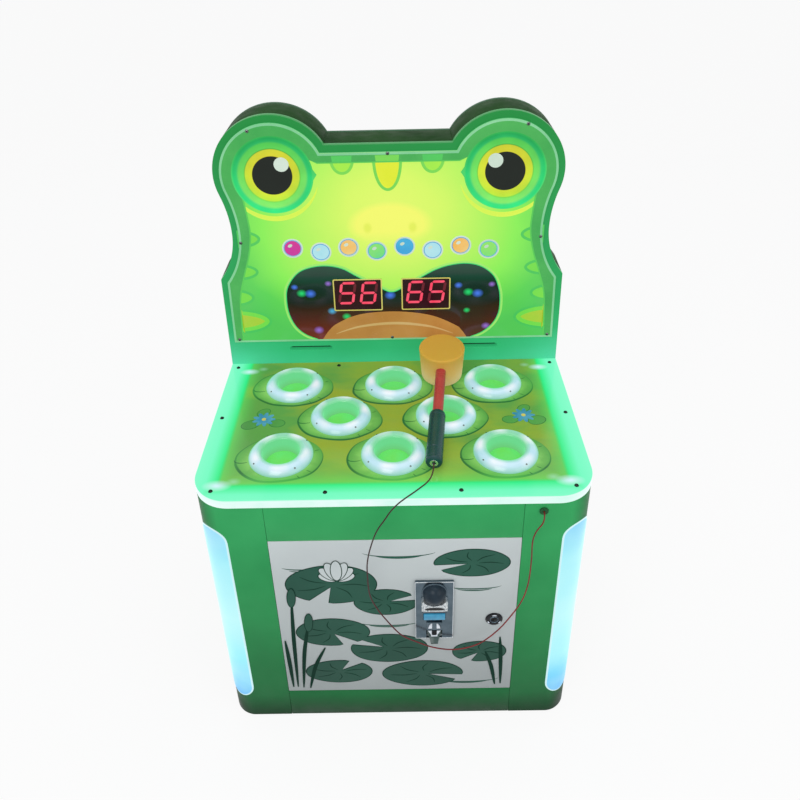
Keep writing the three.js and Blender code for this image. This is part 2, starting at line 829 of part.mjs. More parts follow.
// Light-box header: hollow shell, front panel, two displays and two speakers
function makeHeader() {
  const front = deck_reach;
  const back = cabinet_depth;
  const inside_front = front + header_wall;
  const window_inset = panel_inset + panel_overlap;
  const shell = cut(
    plateBack(headOutline(0, rim_bottom), front, back),
    plateBack(headOutline(header_wall, rim_bottom + header_wall), inside_front, back - header_back_wall),
    plateBack(headOutline(window_inset, header_panel_bottom + panel_overlap),
      front - cut_overrun, inside_front + cut_overrun),
    ...[-1, 1].map((side) => plateBack(slot(side * speaker_distance / 2, speaker_slot_height,
      speaker_slot_length, speaker_slot_width), front - cut_overrun, inside_front + cut_overrun)));
  addPiece('header_shell', shell, paint.green_panel());

  const panel_back = front - seat_gap;
  const panel_front = panel_back - panel_thickness;
  const half_w = display_window_width / 2;
  const half_h = display_window_height / 2;
  const panel = cut(plateBack(headOutline(panel_inset, header_panel_bottom), panel_front, panel_back),
    ...[-1, 1].map((side) => {
      const x = side * display_distance / 2;
      return box(x - half_w, x + half_w, panel_front - cut_overrun, panel_back + cut_overrun,
        display_height - half_h, display_height + half_h);
    }));
  addPiece('header_panel', panel, paint.header_print());

  for (const side of [-1, 1]) {
    const name = side < 0 ? 'left' : 'right';
    const x = side * display_distance / 2;
    const w = half_w - seat_gap;
    const h = half_h - seat_gap;
    const flange_front = panel_back + seat_gap;
    const display = join(
      box(x - w, x + w, panel_front, flange_front + display_body_depth, display_height - h, display_height + h),
      box(x - w - display_flange, x + w + display_flange, flange_front, flange_front + display_flange_thickness,
        display_height - h - display_flange, display_height + h + display_flange));
    addPiece(`${name}_display`, display, paint.display_red());

    const sx = side * speaker_distance / 2;
    const frame_front = inside_front + seat_gap;
    const frame_back = frame_front + speaker_frame_thickness;
    const cone_back = frame_back + speaker_cone_depth;
    const speaker = join(
      plateBack(slot(sx, speaker_slot_height, speaker_length, speaker_width), frame_front, frame_back),
      plateBack(slot(sx, speaker_slot_height, speaker_length * speaker_cone_share,
        speaker_width * speaker_cone_share), frame_back - panel_thickness / 2, cone_back),
      barBack(speaker_magnet_radius, sx, speaker_slot_height, cone_back - panel_thickness / 2,
        cone_back + speaker_magnet_depth, small_facets));
    addPiece(`${name}_speaker`, speaker, paint.black_plastic());
  }
}
const speaker_cone_share = 0.7;

// Coin door with its acceptor, return button, return flap and lock
function makeDoor() {
  const half = door_half_width;
  const body_w = acceptor_body_width / 2 + running_gap;
  const body_h = acceptor_body_height / 2 + running_gap;
  const door = cut(box(-half, half, 0, door_thickness, door_bottom, door_top),
    box(acceptor_centre_x - body_w, acceptor_centre_x + body_w, -cut_overrun, door_thickness + cut_overrun,
      acceptor_centre_height - body_h, acceptor_centre_height + body_h),
    barBack(lock_barrel_radius + running_gap, lock_x, lock_height, -cut_overrun,
      door_thickness + cut_overrun, small_facets));
  addPiece('coin_door', door, paint.door_white());

  const lock = camLock(door_thickness);
  lock.translate(lock_x, 0, lock_height);
  addPiece('door_lock', lock, paint.chrome());
  makeAcceptor();
}

// A lens outline in X and Z, with more of its height above the middle line than below it
function lens(cx, cz, width, height) {
  const points = [];
  for (let i = 0; i < 2 * mouth_steps; i += 1) {
    const angle = Math.PI * (i / mouth_steps);
    const share = i < mouth_steps ? mouth_upper_share : 1 - mouth_upper_share;
    points.push(new THREE.Vector2(cx + (width / 2) * Math.cos(angle), cz + height * share * Math.sin(angle)));
  }
  return points;
}
const mouth_upper_share = 0.7;

// The coin unit's plate with a dome over the saddle that holds the coin's mouth, the bezel of the return
// button, and the hood over the return flap's recess
function makeAcceptor() {
  const holder = new THREE.Group();
  holder.position.set(acceptor_centre_x, 0, acceptor_centre_height);
  machine.add(holder);
  const plate_back = -seat_gap;
  const plate_front = plate_back - acceptor_plate_thickness;
  const plate_middle = plate_back - acceptor_plate_thickness / 2;
  const half_w = acceptor_plate_width / 2;
  const half_h = acceptor_plate_height / 2;
  const plate = box(-half_w, half_w, plate_front, plate_back, -half_h, half_h);
  const body = box(-acceptor_body_width / 2, acceptor_body_width / 2, plate_middle,
    acceptor_body_depth, -acceptor_body_height / 2, acceptor_body_height / 2);

  const curve = arc(0, 0, coin_dome_radius, 0, Math.PI / 2, dome_steps).slice(0, -1).map((p) => [p.x, p.y]);
  const dome = turned([[0, plate_front - plate_middle], [coin_dome_radius, plate_front - plate_middle],
    ...curve, [0, coin_dome_radius]], dome_facets);
  dome.rotateX(Math.PI / 2);
  dome.translate(0, plate_front, coin_dome_rise);

  const saddle_front = plate_front - saddle_proud;
  const saddle_side = saddle_width / 2 - saddle_corner_radius;
  const saddle_bend_y = saddle_front + saddle_corner_radius;
  const quarter = Math.PI / 2;
  const saddle = plateUp([...corners([saddle_width / 2, plate_middle], [-saddle_width / 2, plate_middle]),
    ...arc(-saddle_side, saddle_bend_y, saddle_corner_radius, 2 * quarter, 3 * quarter, slot_end_steps),
    ...arc(saddle_side, saddle_bend_y, saddle_corner_radius, -quarter, 0, slot_end_steps)],
  coin_dome_rise - saddle_bottom_drop, coin_dome_rise - saddle_shoulder_drop);
  const slot_z = coin_dome_rise - coin_mouth_drop;
  const mouth = plateBack(lens(0, slot_z, coin_mouth_width, coin_mouth_height),
    saddle_front - cut_overrun, saddle_front + coin_mouth_depth);
  const coin_slot = box(-coin_slot_length / 2, coin_slot_length / 2, saddle_front, coin_slot_depth,
    slot_z - coin_slot_width / 2, slot_z + coin_slot_width / 2);

  const button_half_w = return_button_width / 2;
  const button_half_h = return_button_height / 2;
  const bezel_w = button_half_w + running_gap + return_bezel_width;
  const bezel_h = button_half_h + running_gap + return_bezel_width;
  const bezel = box(-bezel_w, bezel_w, plate_front - return_bezel_proud, plate_middle,
    -return_button_drop - bezel_h, -return_button_drop + bezel_h);
  const button_pocket = box(-button_half_w - running_gap, button_half_w + running_gap,
    plate_front - return_bezel_proud - cut_overrun, plate_front + return_button_pocket,
    -return_button_drop - button_half_h - running_gap, -return_button_drop + button_half_h + running_gap);

  const chute_half = return_flap_width / 2 + return_pocket_side_gap;
  const flap_pin_z = -half_h + return_flap_rise;
  const chute_top = flap_pin_z + return_flap_pin_radius + running_gap;
  const flap_way = box(-chute_half, chute_half, plate_front - cut_overrun, plate_back,
    -half_h - cut_overrun, chute_top);
  const pocket = box(-chute_half, chute_half, plate_front, return_pocket_depth,
    -acceptor_body_height / 2 + return_pocket_floor, chute_top);
  const hood_front = plate_front - return_hood_proud;
  const hood_top = chute_top + return_hood_height;
  const hood = box(-chute_half, chute_half, hood_front, plate_middle, chute_top, hood_top);
  const hood_pockets = [-1, 1].map((side) => {
    const near = side * return_lever_width / 2;
    const far = side * (chute_half - return_hood_wall);
    return box(Math.min(near, far), Math.max(near, far), hood_front - cut_overrun, hood_front + return_hood_pocket,
      chute_top + return_hood_wall, hood_top - return_hood_wall);
  });
  const acceptor = cut(join(plate, body, dome, saddle, bezel, hood), mouth, coin_slot, button_pocket, flap_way,
    pocket, ...hood_pockets);
  addPiece('coin_acceptor', acceptor, paint.chrome(), holder);

  const button_front = plate_front - return_button_proud;
  const button = box(-button_half_w, button_half_w, button_front, button_front + return_button_length,
    -return_button_drop - button_half_h, -return_button_drop + button_half_h);
  addPiece('coin_return_button', button, paint.button_blue(), holder);
  addPiece('coin_return_flap', flapShape(plate_middle, flap_pin_z), paint.black_plastic(), holder);
}

// The return flap on its pin: a plate with a middle rib, its lower end bent out into a narrow finger lip
function flapShape(pin_y, pin_z) {
  const half = return_flap_width / 2;
  const wall = return_flap_thickness;
  const back = pin_y + wall / 2;
  const front = pin_y - wall / 2;
  const foot = pin_z - return_flap_length;
  const tip_y = front - return_flap_lip_proud;
  const tip = foot - return_flap_lip_drop;
  const plate = box(-half, half, front, back, foot, pin_z);
  const lip = plateAcross(corners([back, foot], [back, foot + wall], [front, foot + wall], [tip_y, tip + wall],
    [tip_y, tip]), -half, half);
  const rib = box(-return_lever_width / 2, return_lever_width / 2, front - return_rib_proud, pin_y,
    foot + return_rib_inset, pin_z - return_rib_inset);
  const pin_half = half + return_pocket_side_gap - seat_gap;
  const pin = bar(return_flap_pin_radius, -pin_half, pin_half, small_facets);
  pin.rotateY(Math.PI / 2);
  pin.translate(0, pin_y, pin_z);
  const far = half + cut_overrun;
  const tapers = [-1, 1].map((side) => {
    const outline = corners([half, foot + return_flap_lip_drop], [return_flap_lip_width / 2, foot],
      [return_flap_tip_width / 2, tip], [return_flap_tip_width / 2, tip - cut_overrun], [far, tip - cut_overrun],
      [far, foot + return_flap_lip_drop]).map((p) => new THREE.Vector2(side * p.x, p.y));
    return plateBack(outline, tip_y - cut_overrun, back + cut_overrun);
  });
  return cut(join(plate, lip, rib, pin), ...tapers);
}

// Control board on the left wall, power supply on the base, power inlet and its rocker at the back
function makeElectronics() {
  const wall = -inner_half;
  const board_x = wall + seat_gap + board_standoff;
  const y0 = board_centre_y - board_length / 2;
  const y1 = board_centre_y + board_length / 2;
  const z0 = board_centre_height - board_width / 2;
  const z1 = board_centre_height + board_width / 2;
  let board = box(board_x, board_x + board_thickness, y0, y1, z0, z1);
  for (const y of [y0 + board_standoff_inset, y1 - board_standoff_inset]) {
    for (const z of [z0 + board_standoff_inset, z1 - board_standoff_inset]) {
      const post = bar(board_standoff_radius, wall + seat_gap, board_x + board_thickness / 2, small_facets);
      post.rotateY(Math.PI / 2);
      post.translate(0, y, z);
      board = join(board, post);
    }
  }
  for (const [along, up, length, height, tall] of board_part_shares) {
    const cy = y0 + along * board_length;
    const cz = z0 + up * board_width;
    board = join(board, box(board_x + board_thickness / 2, board_x + board_thickness + tall * board_part_height,
      cy - length * board_length / 2, cy + length * board_length / 2,
      cz - height * board_width / 2, cz + height * board_width / 2));
  }
  addPiece('main_board', board, paint.board_green());

  const floor = base_height + base_thickness + seat_gap;
  const supply_right = inner_half - supply_wall_gap;
  const supply_left = supply_right - supply_width;
  const supply_front = supply_centre_y - supply_length / 2;
  const supply_back = supply_centre_y + supply_length / 2;
  const supply = cut(box(supply_left, supply_right, supply_front, supply_back, floor, floor + supply_height),
    box(supply_left - cut_overrun, supply_right + cut_overrun, supply_front - cut_overrun,
      supply_front + supply_terminal_depth, floor + supply_terminal_height, floor + supply_height + cut_overrun));
  addPiece('power_supply', supply, paint.sheet_metal());
  makeInlet();
}
const board_part_shares = [
  [0.2, 0.25, 0.22, 0.3, 1], [0.55, 0.5, 0.24, 0.24, 0.35], [0.5, 0.9, 0.8, 0.1, 0.8],
  [0.85, 0.3, 0.12, 0.4, 0.9], [0.5, 0.1, 0.3, 0.1, 0.8],
];

function makeInlet() {
  const holder = new THREE.Group();
  holder.position.set(inlet_x, cabinet_depth, inlet_height);
  machine.add(holder);
  const plate = box(-inlet_width / 2, inlet_width / 2, seat_gap, seat_gap + inlet_plate_thickness,
    -inlet_plate_height / 2, inlet_plate_height / 2);
  const body = box(-inlet_body_width / 2, inlet_body_width / 2, -inlet_body_depth,
    seat_gap + inlet_plate_thickness / 2, -inlet_body_height / 2, inlet_body_height / 2);
  const socket = box(-inlet_socket_width / 2, inlet_socket_width / 2,
    seat_gap + inlet_plate_thickness - inlet_socket_depth, seat_gap + inlet_plate_thickness + cut_overrun,
    -inlet_socket_drop - inlet_socket_height / 2, -inlet_socket_drop + inlet_socket_height / 2);
  const pocket = box(-rocker_width / 2 - running_gap, rocker_width / 2 + running_gap,
    seat_gap + inlet_plate_thickness - rocker_pocket_depth, seat_gap + inlet_plate_thickness + cut_overrun,
    rocker_rise - rocker_length / 2 - rocker_pocket_gap, rocker_rise + rocker_length / 2 + rocker_pocket_gap);
  addPiece('power_inlet', cut(join(plate, body), socket, pocket), paint.black_plastic(), holder);

  const half = rocker_length / 2;
  const pivot_y = seat_gap + inlet_plate_thickness - rocker_pivot_depth;
  const rocker = plateAcross(corners([0, -half], [rocker_depth - rocker_pivot_depth, -half],
    [rocker_waist, 0], [rocker_depth - rocker_pivot_depth, half], [0, half], [-rocker_pivot_depth / 2, 0]),
  -rocker_width / 2, rocker_width / 2);
  const switch_mesh = addPiece('power_switch', rocker, paint.black_plastic(), holder);
  switch_mesh.position.set(0, pivot_y, rocker_rise);
  switch_mesh.rotation.x = THREE.MathUtils.degToRad(rocker_throw / 2);
}

// Mallet lying on the deck: it rests on the front edge of its head, and its grip on the crest of the
// right middle ring
function restingLean() {
  const turn = THREE.MathUtils.degToRad(mallet_turn);
  const to_ring_x = hole_distance / 2 - mallet_x;
  const to_ring_y = row_middle - mallet_y;
  const along = -to_ring_x * Math.sin(turn) - to_ring_y * Math.cos(turn);
  const aside = to_ring_x * Math.cos(turn) - to_ring_y * Math.sin(turn);
  const run = along + Math.sqrt(ring_crest_radius ** 2 - aside ** 2) - head_foot_radius;
  const rise = handle_height - grip_radius;
  return Math.acos(ring_height / Math.hypot(rise, run)) - Math.atan2(run, rise);
}

function makeMallet() {
  const mallet = new THREE.Group();
  const mallet_lean = restingLean();
  const lift = head_foot_radius * Math.sin(mallet_lean);
  mallet.position.set(mallet_x, mallet_y, deck_top + seat_gap + lift);
  mallet.rotation.order = 'ZXY';
  mallet.rotation.set(mallet_lean, 0, THREE.MathUtils.degToRad(-mallet_turn));
  machine.add(mallet);

  const slope = (head_top_radius - head_bottom_radius) / head_height;
  const socket_front = handle_socket_depth / 2;
  const head = turned([[0, 0], [head_bottom_radius - head_edge_radius, 0],
    [head_bottom_radius + slope * head_edge_radius, head_edge_radius],
    [head_top_radius - slope * head_edge_radius, head_height - head_edge_radius],
    [head_top_radius - head_edge_radius, head_height], [0, head_height]], head_facets);
  const socket = barBack(handle_radius + seat_gap, 0, handle_height,
    -head_top_radius - cut_overrun, socket_front + seat_gap, handle_facets);
  addPiece('mallet_head', cut(head, socket), paint.foam_amber(), mallet);

  const grip_front = -handle_length;
  const grip_back = grip_front + grip_length;
  addPiece('mallet_handle', barBack(handle_radius, 0, handle_height, grip_back - grip_bore_depth + seat_gap,
    socket_front, handle_facets), paint.handle_red(), mallet);
  const bore = handle_radius + seat_gap;
  const grip = turned([[0, grip_front], [grip_radius - grip_end_radius, grip_front],
    [grip_radius, grip_front + grip_end_radius], [grip_radius, grip_back - grip_end_radius],
    [grip_radius - grip_end_radius / 2, grip_back], [bore, grip_back], [bore, grip_back - grip_bore_depth],
    [0, grip_back - grip_bore_depth]], handle_facets);
  grip.rotateX(-Math.PI / 2);
  grip.translate(0, 0, handle_height);
  addPiece('mallet_grip', grip, paint.grip_dark(), mallet);
  return mallet;
}

// The cord's route from the grip's end over the deck's front edge, down before the door and up to the grommet
const cord_route = [
  [63.1, 43.6, 566.5], [62.5, 37.6, 565.7], [61.2, 30.8, 561.8], [57.6, 23.8, 556.2],
  [51.4, 17, 552.3], [43, 8.6, 551.7], [31, -3.2, 551.7],
  [18, -14.5, 551], [7, -22.4, 547.6], [-3.4, -26.8, 538.2], [-13, -28.6, 522.5],
  [-25.6, -28.8, 499.5], [-37, -27.6, 461.5], [-42.8, -26, 428.5], [-43.8, -25, 406.5],
  [-41.4, -23.6, 350.3], [-30.8, -22.6, 317.5], [-21.2, -21.8, 296.8], [4.8, -20.6, 252.3],
  [16.4, -20.4, 241.5], [38, -20, 227.4], [58.4, -19.6, 215.9], [89, -18.6, 207.3],
  [114.8, -17.4, 209], [139.9, -16.2, 219.8], [167.4, -15, 248.7], [187.7, -14, 282.1],
  [205, -14.2, 322.3], [212.4, -14.6, 361.6], [214.2, -15, 413.1], [213.6, -15.4, 462],
  [218, -15.6, 480.5], [225.8, -15.5, 495.4], [227.8, -13.9, 501.4], [229.1, -9.5, 505.8],
  [229.6, -3.5, 507.4],
];

function makeCord() {
  const end = new THREE.Vector3(grommet_x, -grommet_flange_thickness - 2 * seat_gap, grommet_height);
  const points = cord_route.map(([x, y, z]) => new THREE.Vector3(x, y, z));
  points.push(end);
  const curve = new THREE.CatmullRomCurve3(points, false, 'centripetal');
  const section = new THREE.Shape(arc(0, 0, cord_radius, 0, 2 * Math.PI, cord_sides).slice(1));
  const tube = new THREE.ExtrudeGeometry(section, { steps: cord_steps, bevelEnabled: false, extrudePath: curve });
  addPiece('mallet_cord', tube, paint.cord_brown());
  console.log(`cord length ${curve.getLength().toFixed(1)} mm`);

  const grommet = turned([[grommet_bore_radius, 0], [grommet_radius, 0],
    [grommet_radius, panel_wall + seat_gap], [grommet_flange_radius, panel_wall + seat_gap],
    [grommet_flange_radius, panel_wall + seat_gap + grommet_flange_thickness],
    [grommet_bore_radius, panel_wall + seat_gap + grommet_flange_thickness], [grommet_bore_radius, 0]], small_facets);
  grommet.rotateX(Math.PI / 2);
  grommet.translate(grommet_x, panel_wall, grommet_height);
  addPiece('cord_grommet', grommet, paint.black_plastic());
}

makeBase();
for (const side of [-1, 1]) {
  makeColumn(side);
  makeSidePanel(side);
}
makeFrontRails();
makeRear();
makeDeck();
makeMechanism();
makeHeader();
makeDoor();
makeElectronics();
makeMallet();
makeCord();

export default machine;
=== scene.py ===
"""The looks of a child-size pounding game machine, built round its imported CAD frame.

Drawing sizes are millimetres in the drawing frame, whose y is zero at the cabinet's front wall.
``at`` turns them into the row frame's metres. Colours are written as a screen shows them, 0 to 255.
"""

import json
import logging
import math
from dataclasses import dataclass, field
from enum import Enum
from typing import Sequence

import bmesh
import bpy
from mathutils import Matrix, Vector


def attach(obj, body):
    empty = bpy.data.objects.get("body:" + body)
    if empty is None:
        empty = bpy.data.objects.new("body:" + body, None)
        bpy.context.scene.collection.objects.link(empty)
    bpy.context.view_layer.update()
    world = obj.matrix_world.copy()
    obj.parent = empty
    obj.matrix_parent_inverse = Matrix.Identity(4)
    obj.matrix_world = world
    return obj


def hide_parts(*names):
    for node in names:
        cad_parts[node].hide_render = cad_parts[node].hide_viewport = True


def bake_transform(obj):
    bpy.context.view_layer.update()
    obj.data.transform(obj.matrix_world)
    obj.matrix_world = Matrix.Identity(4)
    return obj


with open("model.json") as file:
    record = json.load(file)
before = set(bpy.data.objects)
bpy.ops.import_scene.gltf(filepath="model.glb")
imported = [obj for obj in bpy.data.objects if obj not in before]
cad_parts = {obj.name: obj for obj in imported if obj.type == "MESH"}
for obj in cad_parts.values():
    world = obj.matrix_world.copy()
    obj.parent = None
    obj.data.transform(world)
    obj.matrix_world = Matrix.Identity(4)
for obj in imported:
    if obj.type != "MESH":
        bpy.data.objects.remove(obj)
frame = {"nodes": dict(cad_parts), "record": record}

LOG = logging.getLogger("machine")
MM = 0.001
SHIFT_Y = 214.45
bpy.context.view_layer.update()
SLOTS = {part["node"]: part["material_slot"] for part in frame["record"]["subparts"]}
BODIES = {node: body for body, nodes in frame["record"]["behaviour"]["bodies"].items() for node in nodes}

Point2 = tuple[float, float]
Point3 = tuple[float, float, float]
Line = Sequence[Point2]
Object = bpy.types.Object
Material = bpy.types.Material
Socket = bpy.types.NodeSocket


# Sizes shared with the CAD source, in millimetres

HALF_CABINET = 307.0
CABINET_RADIUS = 40.0
CABINET_DEPTH = 434.6
WALL = 12.0
WALL_BOTTOM = 3.0
COLUMN_EDGE = 200.5
COLUMN_SIDE = 70.0
GAP = 0.3
DECK_TOP = 550.0
HALF_DECK = 308.7
DECK_FRONT = -12.0
DECK_REACH = 352.6
DECK_RADIUS = 60.0
COVER = 5.0
RIM_WIDTH = 32.0
RIM_BOTTOM = DECK_TOP - COVER - 11.8
WALL_TOP = RIM_BOTTOM - GAP
HOLES: tuple[Point2, ...] = (
    (-180, 86.5), (0, 86.5), (180, 86.5), (-90, 184.2), (90, 184.2), (-180, 276.7), (0, 276.7), (180, 276.7),
)
RING_OUTER = 51.6
RING_THROAT = 30.0
RING_HEIGHT = 12.0
RING_CREST = (RING_OUTER + RING_THROAT) / 2 - 1
DOOR_HALF = 200.0
DOOR_BOTTOM = 72.0
DOOR_TOP = 450.0
UNIT_X = 62.75
UNIT_Z = 288.3
UNIT_FRONT = -4.3
LOCK_X = 163.7
LOCK_Z = 260.9
PANEL_FRONT = DECK_REACH - 4.3
PANEL_BOTTOM = 604.8
DISPLAY_X = 61.5
DISPLAY_Z = 697.8
EYE_X = 193.6
EYE_Z = 927.0

# Sizes of prints and arcs, and how much light a finish's own second colour keeps

INK = 0.08
PAD_SHIFT: Point2 = (-2.0, -8.0)
PAD_RADII: Point2 = (73.0, 55.0)
ARC_STEPS = 14
SECOND_LIGHT = 0.88
SIDES = ((-1, "left"), (1, "right"))


class Axis(Enum):
    """The way a plate faces or a turned piece points."""

    UP = "z"
    FRONT = "-y"
    BACK = "y"
    RIGHT = "x"


TURNS = {
    Axis.UP: Matrix.Identity(4),
    Axis.FRONT: Matrix.Rotation(math.pi / 2, 4, "X"),
    Axis.BACK: Matrix.Rotation(-math.pi / 2, 4, "X"),
    Axis.RIGHT: Matrix.Rotation(math.pi / 2, 4, "Y"),
}


def at(x: float, y: float, z: float) -> Vector:
    """Gives a drawing point, in millimetres, as a point of the row frame in metres."""
    return Vector((x * MM, (y - SHIFT_Y) * MM, z * MM))


def shade(red: float, green: float, blue: float) -> Point3:
    """Turns a screen colour, 0 to 255, into the linear values that a shader takes."""
    levels = (level / 255 for level in (red, green, blue))
    return tuple(s / 12.92 if s <= 0.04045 else ((s + 0.055) / 1.055) ** 2.4 for s in levels)


def dimmer(colour: Point3, share: float) -> Point3:
    """The screen colour that gives ``share`` of another screen colour's light."""
    toe = 0.055 * 255
    return tuple((level + toe) * share ** (1 / 2.4) - toe for level in colour)


# Outlines


def polar(angle: float) -> Point2:
    """The cosine and sine of an angle in degrees."""
    return math.cos(math.radians(angle)), math.sin(math.radians(angle))


def arc(x: float, y: float, radius: float, start: float, end: float, steps: int) -> list[Point2]:
    """Points along a circle's arc between two angles in degrees, both ends included."""
    around = [polar(start + (end - start) * i / steps) for i in range(steps + 1)]
    return [(x + radius * c, y + radius * s) for c, s in around]


def ellipse(x: float, y: float, rx: float, ry: float, turn: float = 0.0, steps: int = 72) -> list[Point2]:
    """A closed ellipse with half sizes ``rx`` and ``ry``, turned by ``turn`` degrees."""
    (c, s), around = polar(turn), arc(0, 0, 1, 0, 360 - 360 / steps, steps - 1)
    return [(x + rx * u * c - ry * v * s, y + rx * u * s + ry * v * c) for u, v in around]


def rounded_box(x0: float, x1: float, y0: float, y1: float, radius: float) -> list[Point2]:
    """A box outline with round corners, from its left, right, lower and upper sides."""
    middles = ((x1 - radius, y0 + radius), (x1 - radius, y1 - radius), (x0 + radius, y1 - radius),
               (x0 + radius, y0 + radius))
    return [p for k, (x, y) in enumerate(middles) for p in arc(x, y, radius, 90 * k - 90, 90 * k, 6)]


def centred_box(x: float, y: float, half_x: float, half_y: float, radius: float) -> list[Point2]:
    """A box outline with round corners, from its middle and half sizes."""
    return rounded_box(x - half_x, x + half_x, y - half_y, y + half_y, radius)


def mirrored(half: Line) -> list[Point2]:
    """The right half of an outline and its mirror image, as one outline."""
    return [*half, *((-x, y) for x, y in reversed(half))]


def flowing(points: Line, per: int = 8) -> list[Point2]:
    """A smooth open line through given points.

    Args:
        points: The places that it passes.
        per: Steps between two places.

    Returns:
        The line's points.
    """
    padded = [points[0], *points, points[-1]]
    out = []
    for i in range(len(points) - 1):
        near = padded[i:i + 4]
        for t in (j / per for j in range(per)):
            square, cube = t**2, t**3
            weights = (2 * square - t - cube, 2 - 5 * square + 3 * cube, t + 4 * square - 3 * cube,
                       cube - square)
            out.append(tuple(sum(w * p[axis] for w, p in zip(weights, near)) / 2 for axis in (0, 1)))
    return [*out, points[-1]]


def normals(points: Line, closed: bool) -> list[Point2]:
    """The way out at each point of a line, to the right of its run.

    Args:
        points: The line.
        closed: Whether it comes back to its start.

    Returns:
        Unit vectors.
    """
    last = len(points) - 1
    out = []
    for i in range(last + 1):
        ua, va = points[i - 1] if closed or i else points[0]
        ub, vb = points[(i + 1) % (last + 1)] if closed else points[min(i + 1, last)]
        run = math.hypot(ub - ua, vb - va) or 1.0
        out.append(((vb - va) / run, (ua - ub) / run))
    return out


def grown(points: Line, distance: float) -> list[Point2]:
    """A closed outline moved outward.

    Args:
        points: The outline.
        distance: How far, inward when negative.

    Returns:
        The moved outline.
    """
    area = sum(a[0] * b[1] - b[0] * a[1] for a, b in zip(points, [*points[1:], points[0]]))
    reach = math.copysign(distance, area * distance)
    return [(u + reach * nu, v + reach * nv) for (u, v), (nu, nv) in zip(points, normals(points, True))]


def stroke(points: Line, width: float, taper: float = 0.0) -> list[Point2]:
    """The outline of a drawn line.

    Args:
        points: The line's places.
        width: Its width in the middle.
        taper: How much thinner its ends are, from 0 to 1.

    Returns:
        The outline's points.
    """
    last = len(points) - 1
    halves = [width / 2 * (1 - taper * (1 - math.sin(math.pi * i / last))) for i in range(last + 1)]
    rows = list(zip(points, halves, normals(points, False)))
    left = [(u - half * nu, v - half * nv) for (u, v), half, (nu, nv) in rows]
    return left + [(u + half * nu, v + half * nv) for (u, v), half, (nu, nv) in reversed(rows)]


def deck_half(inset: float) -> list[Point2]:
    """The right half of the deck's plan, from its front to its back edge, drawn in by ``inset``."""
    half, front, radius = HALF_DECK - inset, DECK_FRONT + inset, DECK_RADIUS - inset
    return [*arc(half - radius, front + radius, radius, -90, 0, 20), (half, DECK_REACH - GAP)]


def head_outline(inset: float, bottom: float) -> list[Point2]:
    """The header's outline with its two lobes, in x and z.

    Args:
        inset: How far it is drawn in.
        bottom: Its lower edge.

    Returns:
        The outline's points.
    """
    half_waist, half_shoulder = 275.2, 306.2
    waist_z, shoulder_z, lobe_r, brow_z = 820.0, 731.2, 100.4, 975.6
    run, rise = half_shoulder - half_waist, waist_z - shoulder_z
    low_r = (run * run + rise * rise) / (2 * run)
    lobe_rise, lobe_step = EYE_Z - waist_z, half_waist - EYE_X
    high_r = (lobe_step**2 + lobe_rise**2 - lobe_r**2) / (2 * (lobe_r - lobe_step))
    low_c, high_c = half_waist + low_r, half_waist + high_r
    low_start = 180 + math.degrees(math.acos((low_c - half_shoulder + inset) / (low_r + inset)))
    join = math.degrees(math.atan2(-lobe_rise, high_c - EYE_X))
    notch = 180 - math.degrees(math.asin((brow_z - inset - EYE_Z) / (lobe_r - inset)))
    right = [(HALF_DECK - inset, bottom)]
    right += arc(low_c, waist_z, low_r + inset, low_start, 180, ARC_STEPS)
    right += arc(high_c, waist_z, high_r + inset, 180, 180 + join, ARC_STEPS)[1:]
    right += arc(EYE_X, EYE_Z, lobe_r - inset, join, notch, 4 * ARC_STEPS)[1:]
    return mirrored(right)


# Meshes


def new_object(mesh: bpy.types.Mesh, sharp: float = 32.0) -> Object:
    """Links a mesh as an object, smooth but for its sharp edges.

    Args:
        mesh: The mesh.
        sharp: Edges over this angle, in degrees, stay sharp.

    Returns:
        The object.
    """
    mesh.polygons.foreach_set("use_smooth", [True] * len(mesh.polygons))
    mesh.set_sharp_from_angle(angle=math.radians(sharp))
    obj = bpy.data.objects.new("part", mesh)
    bpy.context.scene.collection.objects.link(obj)
    return obj


def from_faces(verts: Sequence[Vector], faces: Sequence[Sequence[int]], sharp: float = 32.0) -> Object:
    """An object from points and faces.

    Args:
        verts: Points in metres.
        faces: Each face's point numbers.
        sharp: Edges over this angle, in degrees, stay sharp.

    Returns:
        The object, its faces pointing out.
    """
    mesh = bpy.data.meshes.new("part")
    mesh.from_pydata([tuple(v) for v in verts], [], [list(f) for f in faces])
    work = bmesh.new()
    work.from_mesh(mesh)
    bmesh.ops.remove_doubles(work, verts=work.verts, dist=1e-7)
    bmesh.ops.recalc_face_normals(work, faces=work.faces)
    work.to_mesh(mesh)
    work.free()
    return new_object(mesh, sharp)


def bake(obj: Object) -> Object:
    """Turns a curve, or a mesh with modifiers, into a plain mesh object.

    Args:
        obj: The object, which goes.

    Returns:
        The mesh object.
    """
    bpy.context.view_layer.update()
    graph = bpy.context.evaluated_depsgraph_get()
    mesh = bpy.data.meshes.new_from_object(obj.evaluated_get(graph))
    mesh.transform(obj.matrix_world)
    bpy.data.objects.remove(obj)
    mesh.materials.clear()
    return new_object(mesh)


def soften(obj: Object, width: float) -> Object:
    """Rounds an object's sharp edges.

    Args:
        obj: The object, which goes.
        width: The rounding's width in millimetres.

    Returns:
        The rounded object.
    """
    change = obj.modifiers.new("edge", "BEVEL")
    change.width = width * MM
    change.segments = 2
    change.limit_method = "ANGLE"
    change.angle_limit = math.radians(38)
    return bake(obj)


